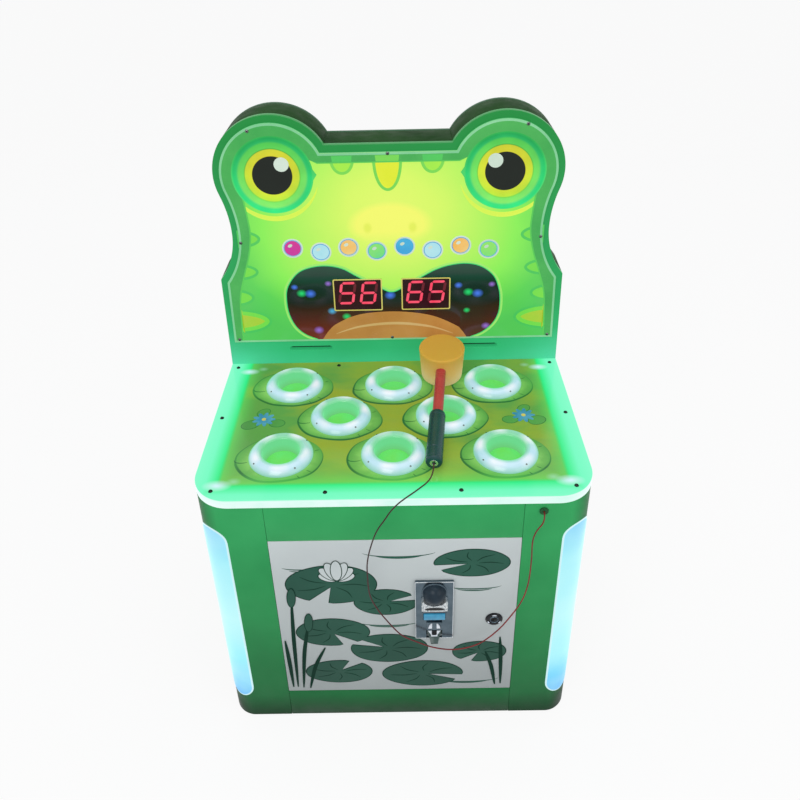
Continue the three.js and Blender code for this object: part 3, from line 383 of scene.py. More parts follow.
def plate(outline: Line, axis: Axis, low: float, high: float, holes: Sequence[Line] = (),
          edge: float = 0.0) -> Object:
    """A flat plate cut to an outline, with rounded edges.

    Args:
        outline: Drawing points in x, y for UP and in x, z for FRONT.
        axis: The way the plate's face points.
        low: Where the plate starts along its thickness, in millimetres.
        high: Where it ends.
        holes: Outlines of holes.
        edge: Radius of the rounded edges, in millimetres.

    Returns:
        The plate.
    """
    curve = bpy.data.curves.new("part", "CURVE")
    curve.dimensions = "2D"
    curve.fill_mode = "BOTH"
    curve.extrude = max((high - low) / 2 - edge, 1e-4) * MM
    if edge:
        curve.bevel_depth = edge * MM
        curve.bevel_resolution = 2
        curve.offset = -edge * MM
    for loop in (outline, *holes):
        line = curve.splines.new("POLY")
        line.points.add(len(loop) - 1)
        for dot, (u, v) in zip(line.points, loop):
            dot.co = (u * MM, v * MM, 0, 1)
        line.use_cyclic_u = True
    middle = (low + high) / 2
    obj = bpy.data.objects.new("part", curve)
    bpy.context.scene.collection.objects.link(obj)
    shift = at(0, 0, middle) if axis is Axis.UP else at(0, middle, 0)
    obj.matrix_world = Matrix.Translation(shift) @ TURNS[axis]
    return bake(obj)


def box(low: Point3, high: Point3, edge: float) -> Object:
    """A box between two drawing corners.

    Args:
        low: Its lowest corner.
        high: Its highest corner.
        edge: Width of its softened edges, in millimetres.

    Returns:
        The box.
    """
    verts = [at(x, y, z) for x in (low[0], high[0]) for y in (low[1], high[1]) for z in (low[2], high[2])]
    faces = [(0, 1, 3, 2), (4, 6, 7, 5), (0, 4, 5, 1), (2, 3, 7, 6), (0, 2, 6, 4), (1, 5, 7, 3)]
    return soften(from_faces(verts, faces), edge)


def skinned(rings: Sequence[Sequence[Vector]], sharp: float = 32.0) -> Object:
    """Joins rings of equally many points into one closed skin with flat ends.

    Args:
        rings: The rings, each in the same order.
        sharp: Edges over this angle, in degrees, stay sharp.

    Returns:
        The skin.
    """
    count = len(rings[0])
    faces = [tuple(range(count)), tuple((len(rings) - 1) * count + k for k in range(count))]
    for i in range(len(rings) - 1):
        for k in range(count):
            m = (k + 1) % count
            faces.append((i * count + k, i * count + m, (i + 1) * count + m, (i + 1) * count + k))
    return from_faces([p for ring in rings for p in ring], faces, sharp)


def turned(profile: Line, place: Vector, axis: Axis = Axis.UP, segments: int = 64) -> Object:
    """A revolved profile.

    Args:
        profile: Radius and height pairs in millimetres.
        place: Where its foot's middle stands, in metres.
        axis: The way it points.
        segments: Steps round it.

    Returns:
        The turned piece.
    """
    move = Matrix.Translation(place) @ TURNS[axis]
    verts, faces = [], []
    count = len(profile)
    for i, (c, s) in enumerate(arc(0, 0, 1, 0, 360 - 360 / segments, segments - 1)):
        verts += [move @ (Vector((r * c, r * s, h)) * MM) for r, h in profile]
        a, b = i * count, (i + 1) % segments * count
        faces += [(a + k, b + k, b + k + 1, a + k + 1) for k in range(count - 1)]
    return from_faces(verts, faces)


def tube(points: Sequence[Vector], radius: float, sides: int) -> Object:
    """A round tube with flat ends.

    Args:
        points: Its middle line, in metres.
        radius: Its radius in millimetres.
        sides: Steps round it.

    Returns:
        The tube.
    """
    rings = []
    tangent = (points[1] - points[0]).normalized()
    normal = tangent.orthogonal().normalized()
    for before, p, after in zip((points[0], *points), points, (*points[1:], points[-1])):
        ahead = (after - before).normalized()
        normal.rotate(tangent.rotation_difference(ahead))
        tangent = ahead
        side = tangent.cross(normal)
        rings.append([p + (normal * u + side * v) * MM for u, v in ellipse(0, 0, radius, radius, 0, sides)])
    return skinned(rings, 50)


def joined(parts: Sequence[Object]) -> Object:
    """Several objects as one.

    Args:
        parts: The objects, each with its material.

    Returns:
        One object, whose faces keep their materials.
    """
    work = bmesh.new()
    materials: list[Material] = []
    for part in parts:
        before = len(work.faces)
        work.from_mesh(part.data)
        work.faces.ensure_lookup_table()
        own = part.data.materials[0]
        if own not in materials:
            materials.append(own)
        for face in work.faces[before:]:
            face.material_index = materials.index(own)
    mesh = bpy.data.meshes.new("part")
    work.to_mesh(mesh)
    work.free()
    for part in parts:
        bpy.data.objects.remove(part)
    for material in materials:
        mesh.materials.append(material)
    return new_object(mesh)


# Materials


class Nodes:
    """A small builder for one material's node tree."""

    def __init__(self, name: str) -> None:
        """Starts a material with its shader.

        Args:
            name: The material's name.
        """
        self.material = bpy.data.materials.new(name)
        self.material.use_nodes = True
        self.tree = self.material.node_tree
        self.tree.nodes.clear()
        self.shader = self.add("ShaderNodeBsdfPrincipled", {"Coat Roughness": 0.06})
        self.out = self.add("ShaderNodeOutputMaterial", {"Surface": self.shader.outputs["BSDF"]})
        self.space = self.add("ShaderNodeTexCoord").outputs["Object"]

    def add(self, kind: str, feeds: dict[str | int, object] | None = None,
            **settings: object) -> bpy.types.Node:
        """Adds a node.

        Args:
            kind: Its type.
            feeds: What goes into its inputs.
            **settings: Its properties.

        Returns:
            The node.
        """
        node = self.tree.nodes.new(kind)
        for key, value in settings.items():
            setattr(node, key, value)
        for key, value in (feeds or {}).items():
            self.feed(node.inputs[key], value)
        return node

    def feed(self, target: Socket, source: object) -> None:
        """Links an output to an input, or sets the input.

        Args:
            target: The input.
            source: A socket, a number, a vector or a screen colour.
        """
        if isinstance(source, Socket):
            self.tree.links.new(source, target)
        elif isinstance(source, tuple) and len(target.default_value) == 4:
            target.default_value = (*shade(*source), 1)
        else:
            target.default_value = source

    def math(self, operation: str, a: object, b: object = 0.0) -> Socket:
        """One arithmetic step on two sockets or numbers."""
        return self.add("ShaderNodeMath", {0: a, 1: b}, operation=operation).outputs[0]

    def times(self, a: object, b: object) -> Socket:
        """The product of two sockets or numbers."""
        return self.math("MULTIPLY", a, b)

    def parts(self, vector: Socket | None = None) -> Sequence[Socket]:
        """The x, y and z of a vector, by default of the surface's own place."""
        return self.add("ShaderNodeSeparateXYZ", {0: vector or self.space}).outputs

    def noise(self, scale: float, detail: float = 3.0, stretch: Point3 = (1, 1, 1)) -> Socket:
        """A noise of so many patterns a metre, stretched along each axis."""
        shape = self.add("ShaderNodeMapping", {"Vector": self.space, "Scale": stretch}).outputs[0]
        return self.add("ShaderNodeTexNoise", {"Vector": shape, "Scale": scale, "Detail": detail}).outputs[0]

    def reach(self, centre: Point3, radii: Point3) -> Socket:
        """How far a place lies from a centre, as a share of an oval's radii.

        Args:
            centre: A drawing point.
            radii: Millimetres along each axis, zero for an axis that doesn't count.

        Returns:
            The share: 1 is on the oval.
        """
        scale = tuple(1 / (r * MM) if r else 0.0 for r in radii)
        place = tuple(-c * s for c, s in zip(at(*centre), scale))
        shape = self.add("ShaderNodeMapping", {"Vector": self.space, "Scale": scale, "Location": place})
        return self.add("ShaderNodeVectorMath", {0: shape.outputs[0]}, operation="LENGTH").outputs["Value"]

    def remap(self, value: Socket, low: float, high: float, start: float = 0.0, end: float = 1.0) -> Socket:
        """Carries a value's range from ``start`` to ``end`` over to ``low`` to ``high``, held at its ends."""
        feeds = {"Value": value, "To Min": low, "To Max": high, "From Min": start, "From Max": end}
        return self.add("ShaderNodeMapRange", feeds).outputs[0]

    def patches(self, scale: float, low: float, high: float, detail: float = 3.0) -> Socket:
        """A noise with strong contrast, from ``low`` to ``high``."""
        return self.remap(self.noise(scale, detail), low, high, 0.3, 0.7)

    def ramp(self, value: Socket, *stops: tuple[float, float, float, float]) -> Socket:
        """A colour ramp.

        Args:
            value: The place on it, from 0 to 1.
            *stops: Places, each with its red, green and blue.

        Returns:
            The colour.
        """
        node = self.add("ShaderNodeValToRGB", {0: value})
        elements = node.color_ramp.elements
        while len(elements) < len(stops):
            elements.new(0.5)
        for element, (place, *colour) in zip(elements, stops):
            element.position = place
            element.color = (*shade(*colour), 1)
        return node.outputs[0]

    def mix(self, share: object, a: object, b: object, blend: str = "MIX") -> Socket:
        """Mixes two sockets or colours, with ``share`` of the second."""
        feeds = {0: share, 6: a, 7: b}
        return self.add("ShaderNodeMix", feeds, data_type="RGBA", blend_type=blend).outputs[2]

    def finish(self, colour: object, light: object, gloss: Sequence[object], height: Socket | None = None,
               strength: float = 0.0, distance: float = 0.0, edges: float = 0.0) -> Material:
        """Feeds the shader.

        Args:
            colour: The surface's colour.
            light: The share of it that shines by itself.
            gloss: Roughness and specular level, then a clear coat's weight and how metallic it is.
            height: The pattern that raises the surface, if one does.
            strength: How much of the pattern shows.
            distance: The pattern's height in millimetres.
            edges: Radius of edges shown rounded, in millimetres.

        Returns:
            The material.
        """
        feeds = dict(zip(("Roughness", "Specular IOR Level", "Coat Weight", "Metallic"), gloss))
        feeds["Base Color"] = self.mix(light, colour, (0, 0, 0)) if light else colour
        if light:
            feeds |= {"Emission Color": colour, "Emission Strength": light}
        if height is not None:
            bump = {"Height": height, "Strength": strength, "Distance": distance * MM}
            if edges:
                bump["Normal"] = self.add("ShaderNodeBevel", {"Radius": edges * MM}, samples=4).outputs[0]
            feeds["Normal"] = self.add("ShaderNodeBump", bump).outputs[0]
        for key, value in feeds.items():
            self.feed(self.shader.inputs[key], value)
        return self.material


@dataclass(frozen=True)
class Finish:
    """A surface of one kind: its two colours, how it varies and how it takes the light.

    Lengths are millimetres, scales are patterns a metre, and the two painted shade shares say how much light
    is taken away towards the foot and on the turned sides.
    """

    first: Point3
    second: Point3 | None = None
    roughness: float = 0.4
    shine: float = 0.3
    coat: float = 0.0
    metal: float = 0.0
    patch_scale: float = 9.0
    grain_scale: float = 900.0
    grain_depth: float = 0.05
    stretch: Point3 = (1, 1, 1)
    edges: float = 0.0
    light: float = 0.0
    painted_foot_shade: float = 0.0
    painted_side_shade: float = 0.0

    def build(self, name: str) -> Material:
        """Makes the material.

        Args:
            name: Its name.

        Returns:
            The material.
        """
        n = Nodes(name)
        second = self.second or dimmer(self.first, SECOND_LIGHT)
        share = n.remap(n.noise(self.patch_scale, 4, self.stretch), 0, 1, 0.3, 0.7)
        colour = n.mix(share, self.first, second)
        x, _, z = n.parts()
        # Painted shade: darker towards the foot, over the lower 450 mm and again near the floor.
        for foot in (0.45, 0.06) if self.painted_foot_shade else ():
            colour = n.mix(1.0, colour, n.remap(z, 1 - self.painted_foot_shade, 1, 0, foot), "MULTIPLY")
        # Painted shade on the column corners, where the sides turn away from the front light.
        if self.painted_side_shade:
            turn = n.remap(n.math("ABSOLUTE", x), 1, 1 - self.painted_side_shade, 0.274, 0.303)
            colour = n.mix(1.0, colour, turn, "MULTIPLY")
        worn = n.patches(self.patch_scale * 5, self.roughness * 0.85, self.roughness * 1.2)
        return n.finish(colour, self.light, (worn, self.shine, self.coat, self.metal),
                        n.noise(self.grain_scale, 2, self.stretch), 0.5, self.grain_depth, self.edges)


def printed(first: Point3, second: Point3, light: float = 0.5) -> Finish:
    """A back-lit colour, for print and for painted shade and glow, with the share of light that comes
    through.
    """
    return Finish(first, second, 0.24, 0.2, 0.15, light=light, patch_scale=18)


def leafy(first: Point3, second: Point3 | None = None, light: float = 0.25,
          patch_scale: float = 9.0) -> Finish:
    """A printed colour of the deck's sheet, with a faint painted glow."""
    return Finish(first, second, 0.2, coat=0.1, light=light, patch_scale=patch_scale)


def bright(first: Point3, second: Point3 | None = None, roughness: float = 0.26, edges: float = 0.0,
           metal: float = 1.0, **more: object) -> Finish:
    """A bare metal."""
    return Finish(first, second, roughness, metal=metal, edges=edges, **more)


FINISHES: dict[str, Finish] = {
    # front_green carries painted shade towards its foot and on its turned corners.
    "front_green": Finish((60, 176, 102), (50, 162, 92), 0.4, 0.1, grain_scale=260, grain_depth=0.08,
                          edges=0.6, painted_foot_shade=0.68, painted_side_shade=0.62),
    "side_green": Finish((32, 92, 52), (29, 84, 48), 0.42, 0.15, patch_scale=4, grain_scale=260,
                         grain_depth=0.08, edges=0.6),
    "header_side": Finish((36, 76, 32), (24, 56, 24), 0.5, 0.03, grain_scale=90),
    "plywood": Finish((200, 168, 122), (170, 134, 88), 0.7, patch_scale=14, grain_scale=60, grain_depth=0.2,
                      stretch=(1, 9, 1)),
    "band_light": Finish((214, 252, 240), (238, 254, 253), 0.3, light=0.85, patch_scale=24),
    "strip_edge": Finish((214, 250, 254), roughness=0.3, light=0.8),
    # The moles are given a painted glow.
    "mole_green": Finish((114, 226, 96), (108, 232, 120), light=0.5, patch_scale=40, grain_scale=700),
    "pad_line": leafy((42, 116, 62), None, 0.2, 30),
    "leaf_green": leafy((96, 172, 84), (80, 150, 74)),
    "petal_blue": leafy((52, 138, 180), (96, 172, 206), 0.25, 60),
    "petal_heart": leafy((226, 214, 110)),
    "print_mint": printed((62, 214, 112), (72, 224, 128)),
    "print_core": printed((132, 232, 78), (120, 228, 82)),
    "print_line": printed((90, 210, 96), (80, 204, 98)),
    # Painted shade of the header's border band and its softer fringe.
    "border_shade": printed((66, 174, 84), (84, 188, 94), 0.4),
    "fringe_shade": printed((92, 206, 90), (98, 214, 92), 0.45),
    "print_yellow": printed((228, 240, 40), (236, 244, 58)),
    "print_sun": printed((196, 208, 60), (168, 220, 66)),
    "brow_line": printed((132, 226, 86), (122, 220, 90)),
    "brow_core": printed((176, 244, 74), (166, 242, 78)),
    "print_pale": printed((178, 246, 120), (158, 240, 116)),
    "lid_glow": printed((230, 253, 84), (218, 252, 88)),
    "print_white": printed((226, 240, 226), (206, 226, 208), 0.35),
    # Painted shade in recesses and slots: screw crosses, the coin slot and the key slot.
    "print_black": printed((16, 24, 18), (12, 18, 14), 0.1),
    "print_orange": printed((206, 148, 78), (192, 132, 66), 0.45),
    "print_peach": printed((226, 190, 132), (218, 178, 112), 0.4),
    "dot_pink": printed((238, 56, 130), (206, 60, 170)),
    "dot_blue": printed((52, 152, 226), (80, 190, 232)),
    "dot_amber": printed((255, 190, 90), (250, 220, 150)),
    "dot_sky": printed((170, 230, 244), (210, 244, 250)),
    "dot_green": printed((88, 222, 150), (150, 236, 110)),
    # Painted glow of the header sheet's cut edge.
    "edge_glow": printed((128, 206, 150), (150, 222, 168), 0.4),
    "digit_red": Finish((250, 60, 92), (255, 92, 120), 0.3, light=0.95, patch_scale=60),
    "digit_off": Finish((116, 26, 46), (98, 22, 40), 0.3, light=0.4),
    "display_dark": Finish((58, 14, 28), (36, 12, 20), 0.14, 0.2, light=0.3),
    "frame_yellow": Finish((222, 206, 100), (234, 222, 128), 0.3, light=0.35),
    "black_plastic": Finish((30, 32, 34), roughness=0.42, grain_scale=1400, grain_depth=0.04, edges=0.3),
    "black_gloss": Finish((26, 28, 36), (16, 18, 22), 0.16, 0.2, patch_scale=120),
    "entry_dome": Finish((48, 62, 74), (36, 48, 58), 0.16, 0.12, patch_scale=60),
    "chrome": bright((206, 212, 216), None, 0.14, 0.3, grain_scale=500, grain_depth=0.01),
    "dark_chrome": bright((98, 112, 122), (80, 96, 106), 0.2, 0.3, patch_scale=60, grain_scale=500,
                          grain_depth=0.01),
    # The speckled saddle has a faint painted glow.
    "speckled": bright((244, 248, 248), (112, 124, 134), 0.26, 0.3, 0.9, patch_scale=420, grain_depth=0.35,
                       light=0.12),
    # Painted reflections: white plates with a glow of their own.
    "glint_white": Finish((234, 240, 246), (214, 222, 234), 0.2, 0.5, light=0.3),
    "slot_dark": Finish((52, 56, 60), (30, 32, 36), patch_scale=200),
    # The button has a faint painted glow.
    "button_blue": Finish((52, 142, 184), (62, 164, 204), 0.2, coat=0.3, patch_scale=90, grain_scale=600,
                          light=0.15, edges=0.4),
    "flap_grey": Finish((74, 96, 92), (54, 72, 72), 0.3, coat=0.2, patch_scale=90),
    "brushed": bright((176, 180, 186), None, 0.32, 0.3, stretch=(1, 1, 14), grain_depth=0.02),
    "screw_steel": bright((128, 132, 130), (96, 100, 98), patch_scale=90),
    "screw_dark": bright((38, 44, 42), (26, 30, 30), metal=0.6, patch_scale=90),
    # door_grey and motif_green carry painted shade towards their foot.
    "door_grey": Finish((214, 222, 222), (206, 213, 214), 0.36, 0.15, patch_scale=5, grain_scale=300,
                        edges=0.6, painted_foot_shade=0.48),
    "motif_green": Finish((44, 98, 80), (36, 86, 70), 0.36, 0.15, painted_foot_shade=0.3),
    "motif_line": Finish((20, 60, 46), (16, 52, 40), 0.5, 0.05),
    "motif_pale": Finish((214, 222, 222), (200, 208, 210), 0.36, 0.15),
    "board_green": Finish((28, 100, 62), roughness=0.35, coat=0.3, patch_scale=60, grain_scale=500),
    "sheet_metal": bright((182, 185, 188), None, 0.38, 0.4, patch_scale=20),
    "coil_black": Finish((46, 44, 46), (84, 52, 34), 0.5, patch_scale=40, grain_scale=160, grain_depth=0.25,
                         stretch=(1, 1, 8)),
    "handle_red": Finish((196, 74, 74), (184, 62, 64), 0.3, 0.2, patch_scale=22, grain_scale=300),
    "grip_dark": Finish((32, 76, 76), (24, 60, 62), 0.26, patch_scale=30, grain_scale=800, grain_depth=0.08),
}


def header_board() -> Material:
    """The header's painted front board, brighter and bluer low down where the deck's light falls on it.

    Returns:
        The material.
    """
    n = Nodes("header_board")
    x, _, z = n.parts()
    colour = n.ramp(n.remap(z, 0, 1, 0.53, 1.03), (0.0, 80, 226, 170), (0.1, 58, 200, 130),
                    (0.3, 50, 178, 102), (0.7, 50, 164, 88), (0.95, 42, 150, 70))
    # Painted light: pale teal towards the flanks low down, near the deck.
    flank_glow = n.times(n.remap(n.math("ABSOLUTE", x), 0, 1, 0.2, 0.3), n.remap(z, 1, 0, 0.545, 0.62))
    colour = n.mix(n.times(flank_glow, 0.6), colour, (110, 240, 200))
    colour = n.mix(n.patches(7, 0, 0.16), colour, (30, 130, 70))
    # The board also glows a little, as painted light.
    return n.finish(colour, 0.4, (0.36, 0.12, 0.05), n.noise(260, 2), 0.5, 0.06, 0.6)


def header_print() -> Material:
    """The header's back-lit print: lime yellow in the middle, greener outward, with a soft yellow nose field.

    Returns:
        The material.
    """
    n = Nodes("header_print")
    x, _, z = n.parts()
    across, up = n.times(x, 3.1), n.times(n.math("SUBTRACT", z, 0.85), 3.4)
    far = n.math("SQRT", n.math("ADD", n.times(across, across), n.times(up, up)))
    far = n.math("ADD", far, n.patches(5, -0.05, 0.05))
    colour = n.ramp(far, (0.0, 235, 255, 110), (0.25, 222, 254, 104), (0.68, 142, 245, 88),
                    (0.86, 98, 217, 89), (1.0, 88, 206, 92))
    nose = n.remap(n.reach((0, 0, 834), (72, 0, 42)), 0.9, 0, 0.8, 1.06)
    nose = n.times(nose, n.remap(z, 0.15, 1, 0.797, 0.822))
    colour = n.mix(nose, colour, (254, 255, 112))
    for side, _ in SIDES:
        dot = n.remap(n.reach((side * 39, 0, 829), (9, 0, 12)), 0.55, 0, 0.45, 1)
        colour = n.mix(dot, colour, (222, 238, 70))
    # Painted glow: the sheet's cut sides are paler.
    facing = n.parts(n.add("ShaderNodeNewGeometry").outputs["True Normal"])[1]
    colour = n.mix(n.remap(n.math("ABSOLUTE", facing), 1, 0, 0.3, 0.8), colour, (120, 204, 150))
    return n.finish(colour, 0.62, (0.2, 0.25, 0.2), n.noise(30, 2), 0.15, 0.2)


def eye_print() -> Material:
    """The eyes' print: black, yellow, lime and mint rings, each darker high up with painted shade and
    brighter low down.

    Returns:
        The material.
    """
    n = Nodes("eye_print")
    near = n.math("MINIMUM", *(n.reach((side * EYE_X, 0, EYE_Z), (68, 0, 68)) for side, _ in SIDES))
    shaded_upper = n.ramp(near, (0.488, 20, 28, 20), (0.498, 222, 208, 46), (0.66, 216, 214, 48),
                   (0.678, 60, 156, 52), (0.695, 92, 214, 86), (0.82, 84, 208, 84), (0.87, 34, 186, 98),
                   (0.94, 20, 174, 86), (1.0, 56, 190, 84))
    lower = n.ramp(near, (0.488, 20, 28, 20), (0.498, 218, 244, 56), (0.66, 196, 246, 62),
                   (0.685, 132, 236, 86), (0.72, 136, 248, 110), (0.82, 142, 246, 112), (0.88, 60, 236, 134),
                   (0.96, 42, 240, 134), (1.0, 92, 238, 130))
    # Painted shade: the upper rings are darker, the lower brighter.
    colour = n.mix(n.remap(n.parts()[2], 1, 0, (EYE_Z - 58) * MM, (EYE_Z + 52) * MM), shaded_upper, lower)
    colour = n.mix(1.0, colour, n.patches(22, 0.88, 1.08), "MULTIPLY")
    return n.finish(colour, 0.55, (0.22, 0.2, 0.1), n.noise(30, 2), 0.15, 0.2)


def pad_reach(n: Nodes, shift: Point2, shrink: float) -> Socket:
    """How far a place lies from the nearest lily pad's middle, as a share of the pad.

    Args:
        n: The material's nodes.
        shift: How far the pads are moved.
        shrink: How much smaller they are.

    Returns:
        The share, with a slight wobble: 1 is on the pad's edge.
    """
    radii = (PAD_RADII[0] - shrink, PAD_RADII[1] - shrink, 0)
    dx, dy = PAD_SHIFT[0] + shift[0], PAD_SHIFT[1] + shift[1]
    near, *others = [n.reach((x + dx, y + dy, 0), radii) for x, y in HOLES]
    for share in others:
        near = n.math("MINIMUM", near, share)
    return n.math("ADD", near, n.patches(15, -0.035, 0.035, 1))


def pond(n: Nodes) -> Socket:
    """The print in the deck's middle: lily pads round the holes, on water.

    Args:
        n: The material's nodes.

    Returns:
        The colour.
    """
    x, y, _ = n.parts()
    olive = n.math("ADD", n.noise(7, 3, (1, 2, 1)), n.remap(n.math("ABSOLUTE", x), -0.12, 0.2, 0, 0.26))
    water = n.ramp(olive, (0.34, 160, 176, 58), (0.5, 146, 178, 66), (0.7, 100, 166, 80))
    front = n.remap(y, 0.5, 0, at(0, DECK_FRONT + 30, 0).y, at(0, 110, 0).y)
    water = n.mix(front, water, (140, 214, 96))
    near = pad_reach(n, (0, 0), 0)
    fill = n.remap(near, 1, 0, 0.985, 1.0)
    # Painted light from the rings: each pad is brighter near its hole.
    leaf = n.ramp(near, (0.68, 146, 214, 110), (0.84, 118, 192, 92), (0.97, 96, 172, 80))
    leaf = n.mix(n.remap(n.noise(46, 2), 0, 0.3, 0.45, 0.6), leaf, (84, 160, 74))
    line = n.times(fill, n.remap(pad_reach(n, (0.8, 2.2), 2.4), 0, 1, 0.985, 1.01))
    return n.mix(n.times(line, 0.85), n.mix(fill, water, leaf), (34, 104, 58))


def deck_print() -> Material:
    """The print under the deck's clear sheet, with the rim's light and its lamps' glare at the border.

    Returns:
        The material.
    """
    n = Nodes("deck_print")
    x, y, z = n.parts()
    colour = pond(n)
    aside = n.math("SUBTRACT", n.math("ABSOLUTE", x), (HALF_DECK - RIM_WIDTH - 8) * MM)
    edge = n.math("MAXIMUM", aside, n.math("SUBTRACT", at(0, DECK_FRONT + RIM_WIDTH, 0).y, y))
    # Painted light: the rim's light spilling inward over the print.
    rim_spill_glow = n.times(n.math("POWER", n.remap(edge, 0, 1, -0.032, -0.001), 1.6), 0.75)
    rim = n.ramp(n.remap(edge, 0, 1, -0.004, 0.04), (0.0, 20, 222, 104), (0.22, 66, 243, 150),
                 (0.55, 118, 252, 196), (1.0, 132, 254, 204))
    lit = n.remap(edge, 0, 1, -0.004, 0.002)
    colour = n.mix(lit, n.mix(rim_spill_glow, colour, (104, 220, 98)), rim)
    # Painted glare of the rim's lamps at the border, each with a fainter painted glare beside it.
    for side, _ in SIDES:
        for place, size in ((19.5, 1.0), (324.0, 0.8)):
            glare = n.reach((side * 270, place, 0), (24 * size, 13 * size, 0))
            colour = n.mix(n.remap(glare, 0.95, 0, 0.1, 1), colour, (214, 248, 255))
            glare_echo = n.reach((side * 246, place + 8, 0), (13 * size, 9 * size, 0))
            colour = n.mix(n.remap(glare_echo, 0.4, 0, 0.1, 1), colour, (190, 240, 220))
    # Painted glow: the sheet's cut edge is near white.
    lit_cut_edge = n.remap(z, 1, 0, (DECK_TOP - 2.6) * MM, (DECK_TOP - 1.0) * MM)
    colour = n.mix(lit_cut_edge, colour, (222, 253, 244))
    # Painted glow: the print shines a little everywhere, and brightly over the lit rim and where its light
    # spills.
    light = n.remap(n.math("MAXIMUM", lit, n.times(rim_spill_glow, 0.8)), 0.3, 0.85)
    return n.finish(colour, light, (0.16, 0.2, 0.08), n.noise(12, 2), 0.05, 0.3)


def ring_light(number: int, x: float, y: float) -> Material:
    """A translucent ring lit from below: blue-white towards the player, mint at its back, with lamp spots.

    Args:
        number: The ring's number.
        x: Its middle.
        y: Its middle.

    Returns:
        The material.
    """
    n = Nodes(f"ring_light_{number}")
    local = n.add("ShaderNodeVectorMath", {0: n.space, 1: at(x, y, DECK_TOP)}, operation="SUBTRACT")
    u, v, h = n.parts(local.outputs[0])
    turn = n.math("ADD", n.times(n.math("ARCTAN2", v, u), 5), 1.3 * number)
    lamps = n.remap(n.math("COSINE", turn), 0.2, 1, -0.5, 0.9)
    lamps = n.times(lamps, n.remap(n.noise(30, 1), 0.5, 1, 0.35, 0.6))
    body = n.ramp(n.remap(v, 0, 1, -0.04, 0.045), (0.0, 192, 232, 246), (0.35, 176, 224, 240),
                  (0.6, 150, 222, 204), (1.0, 124, 208, 168))
    reach = n.reach((x, y, 0), (RING_OUTER, RING_OUTER, 0))
    body = n.mix(n.remap(reach, 0.8, 0, 0.6, 0.76), body, (108, 218, 138))
    body = n.mix(n.remap(reach, 0, 0.6, 0.88, 1.0), body, (112, 196, 150))
    crest = n.remap(n.math("ABSOLUTE", n.math("SUBTRACT", reach, 0.8)), 1, 0, 0.03, 0.2)
    colour = n.mix(n.times(lamps, crest), body, (240, 248, 255))
    colour = n.mix(n.remap(h, 0.8, 0, -0.02, -0.002), colour, (120, 200, 120))
    return n.finish(colour, 0.72, (0.16, 0.4, 0.3), n.noise(220, 2), 0.12, 0.15)


def strip_light() -> Material:
    """A lit corner strip: pale cyan, bluer at its ends.

    Returns:
        The material.
    """
    n = Nodes("strip_light")
    colour = n.ramp(n.remap(n.parts()[2], 0, 1, 0.055, 0.478), (0.0, 92, 182, 246), (0.12, 122, 216, 254),
                    (0.26, 158, 244, 254), (0.5, 190, 251, 254), (0.82, 162, 240, 252), (1.0, 140, 214, 250))
    colour = n.mix(n.remap(n.noise(14, 2), 0, 0.3, 0.35, 0.65), colour, (205, 253, 254))
    return n.finish(colour, 0.82, (0.3, 0.25), n.noise(400, 2), 0.1, 0.05)


# Painted reflections of coloured lamps in the header's dark window: places, radii and colours.
REFLECTION_COLOURS: dict[str, Point3] = {
    "green": (40, 226, 120), "blue": (78, 126, 250), "violet": (160, 110, 220), "cyan": (80, 180, 230),
}
WINDOW_REFLECTIONS: tuple[tuple[float, float, float, str], ...] = (
    (-163, 703, 10, "green"), (-147, 702, 11, "blue"), (138, 700, 10, "green"), (155, 697, 11, "blue"),
    (-3, 696, 11, "blue"), (-110, 665, 9, "cyan"), (-84, 653, 9, "green"), (-137, 625, 10, "violet"),
    (-175, 716, 7, "blue"), (-114, 722, 7, "violet"), (120, 714, 8, "blue"), (180, 715, 7, "violet"),
    (136, 662, 7, "green"), (172, 628, 9, "violet"),
)


def window_dark() -> Material:
    """Dark glass, green above and maroon below, with painted reflections of small coloured lamps in it.

    Returns:
        The material.
    """
    n = Nodes("window_dark")
    colour = n.ramp(n.remap(n.parts()[2], 0, 1, 0.604, 0.758), (0.0, 124, 32, 20), (0.3, 78, 20, 18),
                    (0.52, 20, 14, 14), (0.7, 8, 22, 22), (0.86, 8, 58, 42), (1.0, 10, 84, 56))
    colour = n.mix(n.remap(n.noise(11, 2), 0, 0.5, 0.4, 0.7), colour, (16, 40, 36))
    # Painted reflections of small coloured lamps.
    for x, z, radius, lamp in WINDOW_REFLECTIONS:
        spot = n.reach((x, 0, z), (radius, 0, radius * 0.85))
        colour = n.mix(n.remap(spot, 0.95, 0, 0.15, 1), colour, REFLECTION_COLOURS[lamp])
    return n.finish(colour, 0.5, (0.1, 0.3, 0.25), n.noise(9, 1), 0.05, 0.3)


def foam_amber() -> Material:
    """The mallet head's soft foam, paler low down where the rings shine into it.

    Returns:
        The material.
    """
    n = Nodes("foam_amber")
    height = n.math("ADD", n.parts()[2], n.patches(14, -0.006, 0.006))
    colour = n.ramp(n.remap(height, 0, 1, 0.55, 0.612), (0.0, 244, 214, 160), (0.45, 236, 190, 110),
                    (0.8, 226, 176, 86), (1.0, 220, 172, 70))
    for key, value in (("Weight", 0.3), ("Scale", 0.012), ("Radius", (1.0, 0.6, 0.3))):
        n.feed(n.shader.inputs[f"Subsurface {key}"], value)
    # The head also glows faintly, as painted light from the rings.
    return n.finish(colour, 0.2, (0.5, 0.2), n.noise(420, 2), 0.5, 0.12)


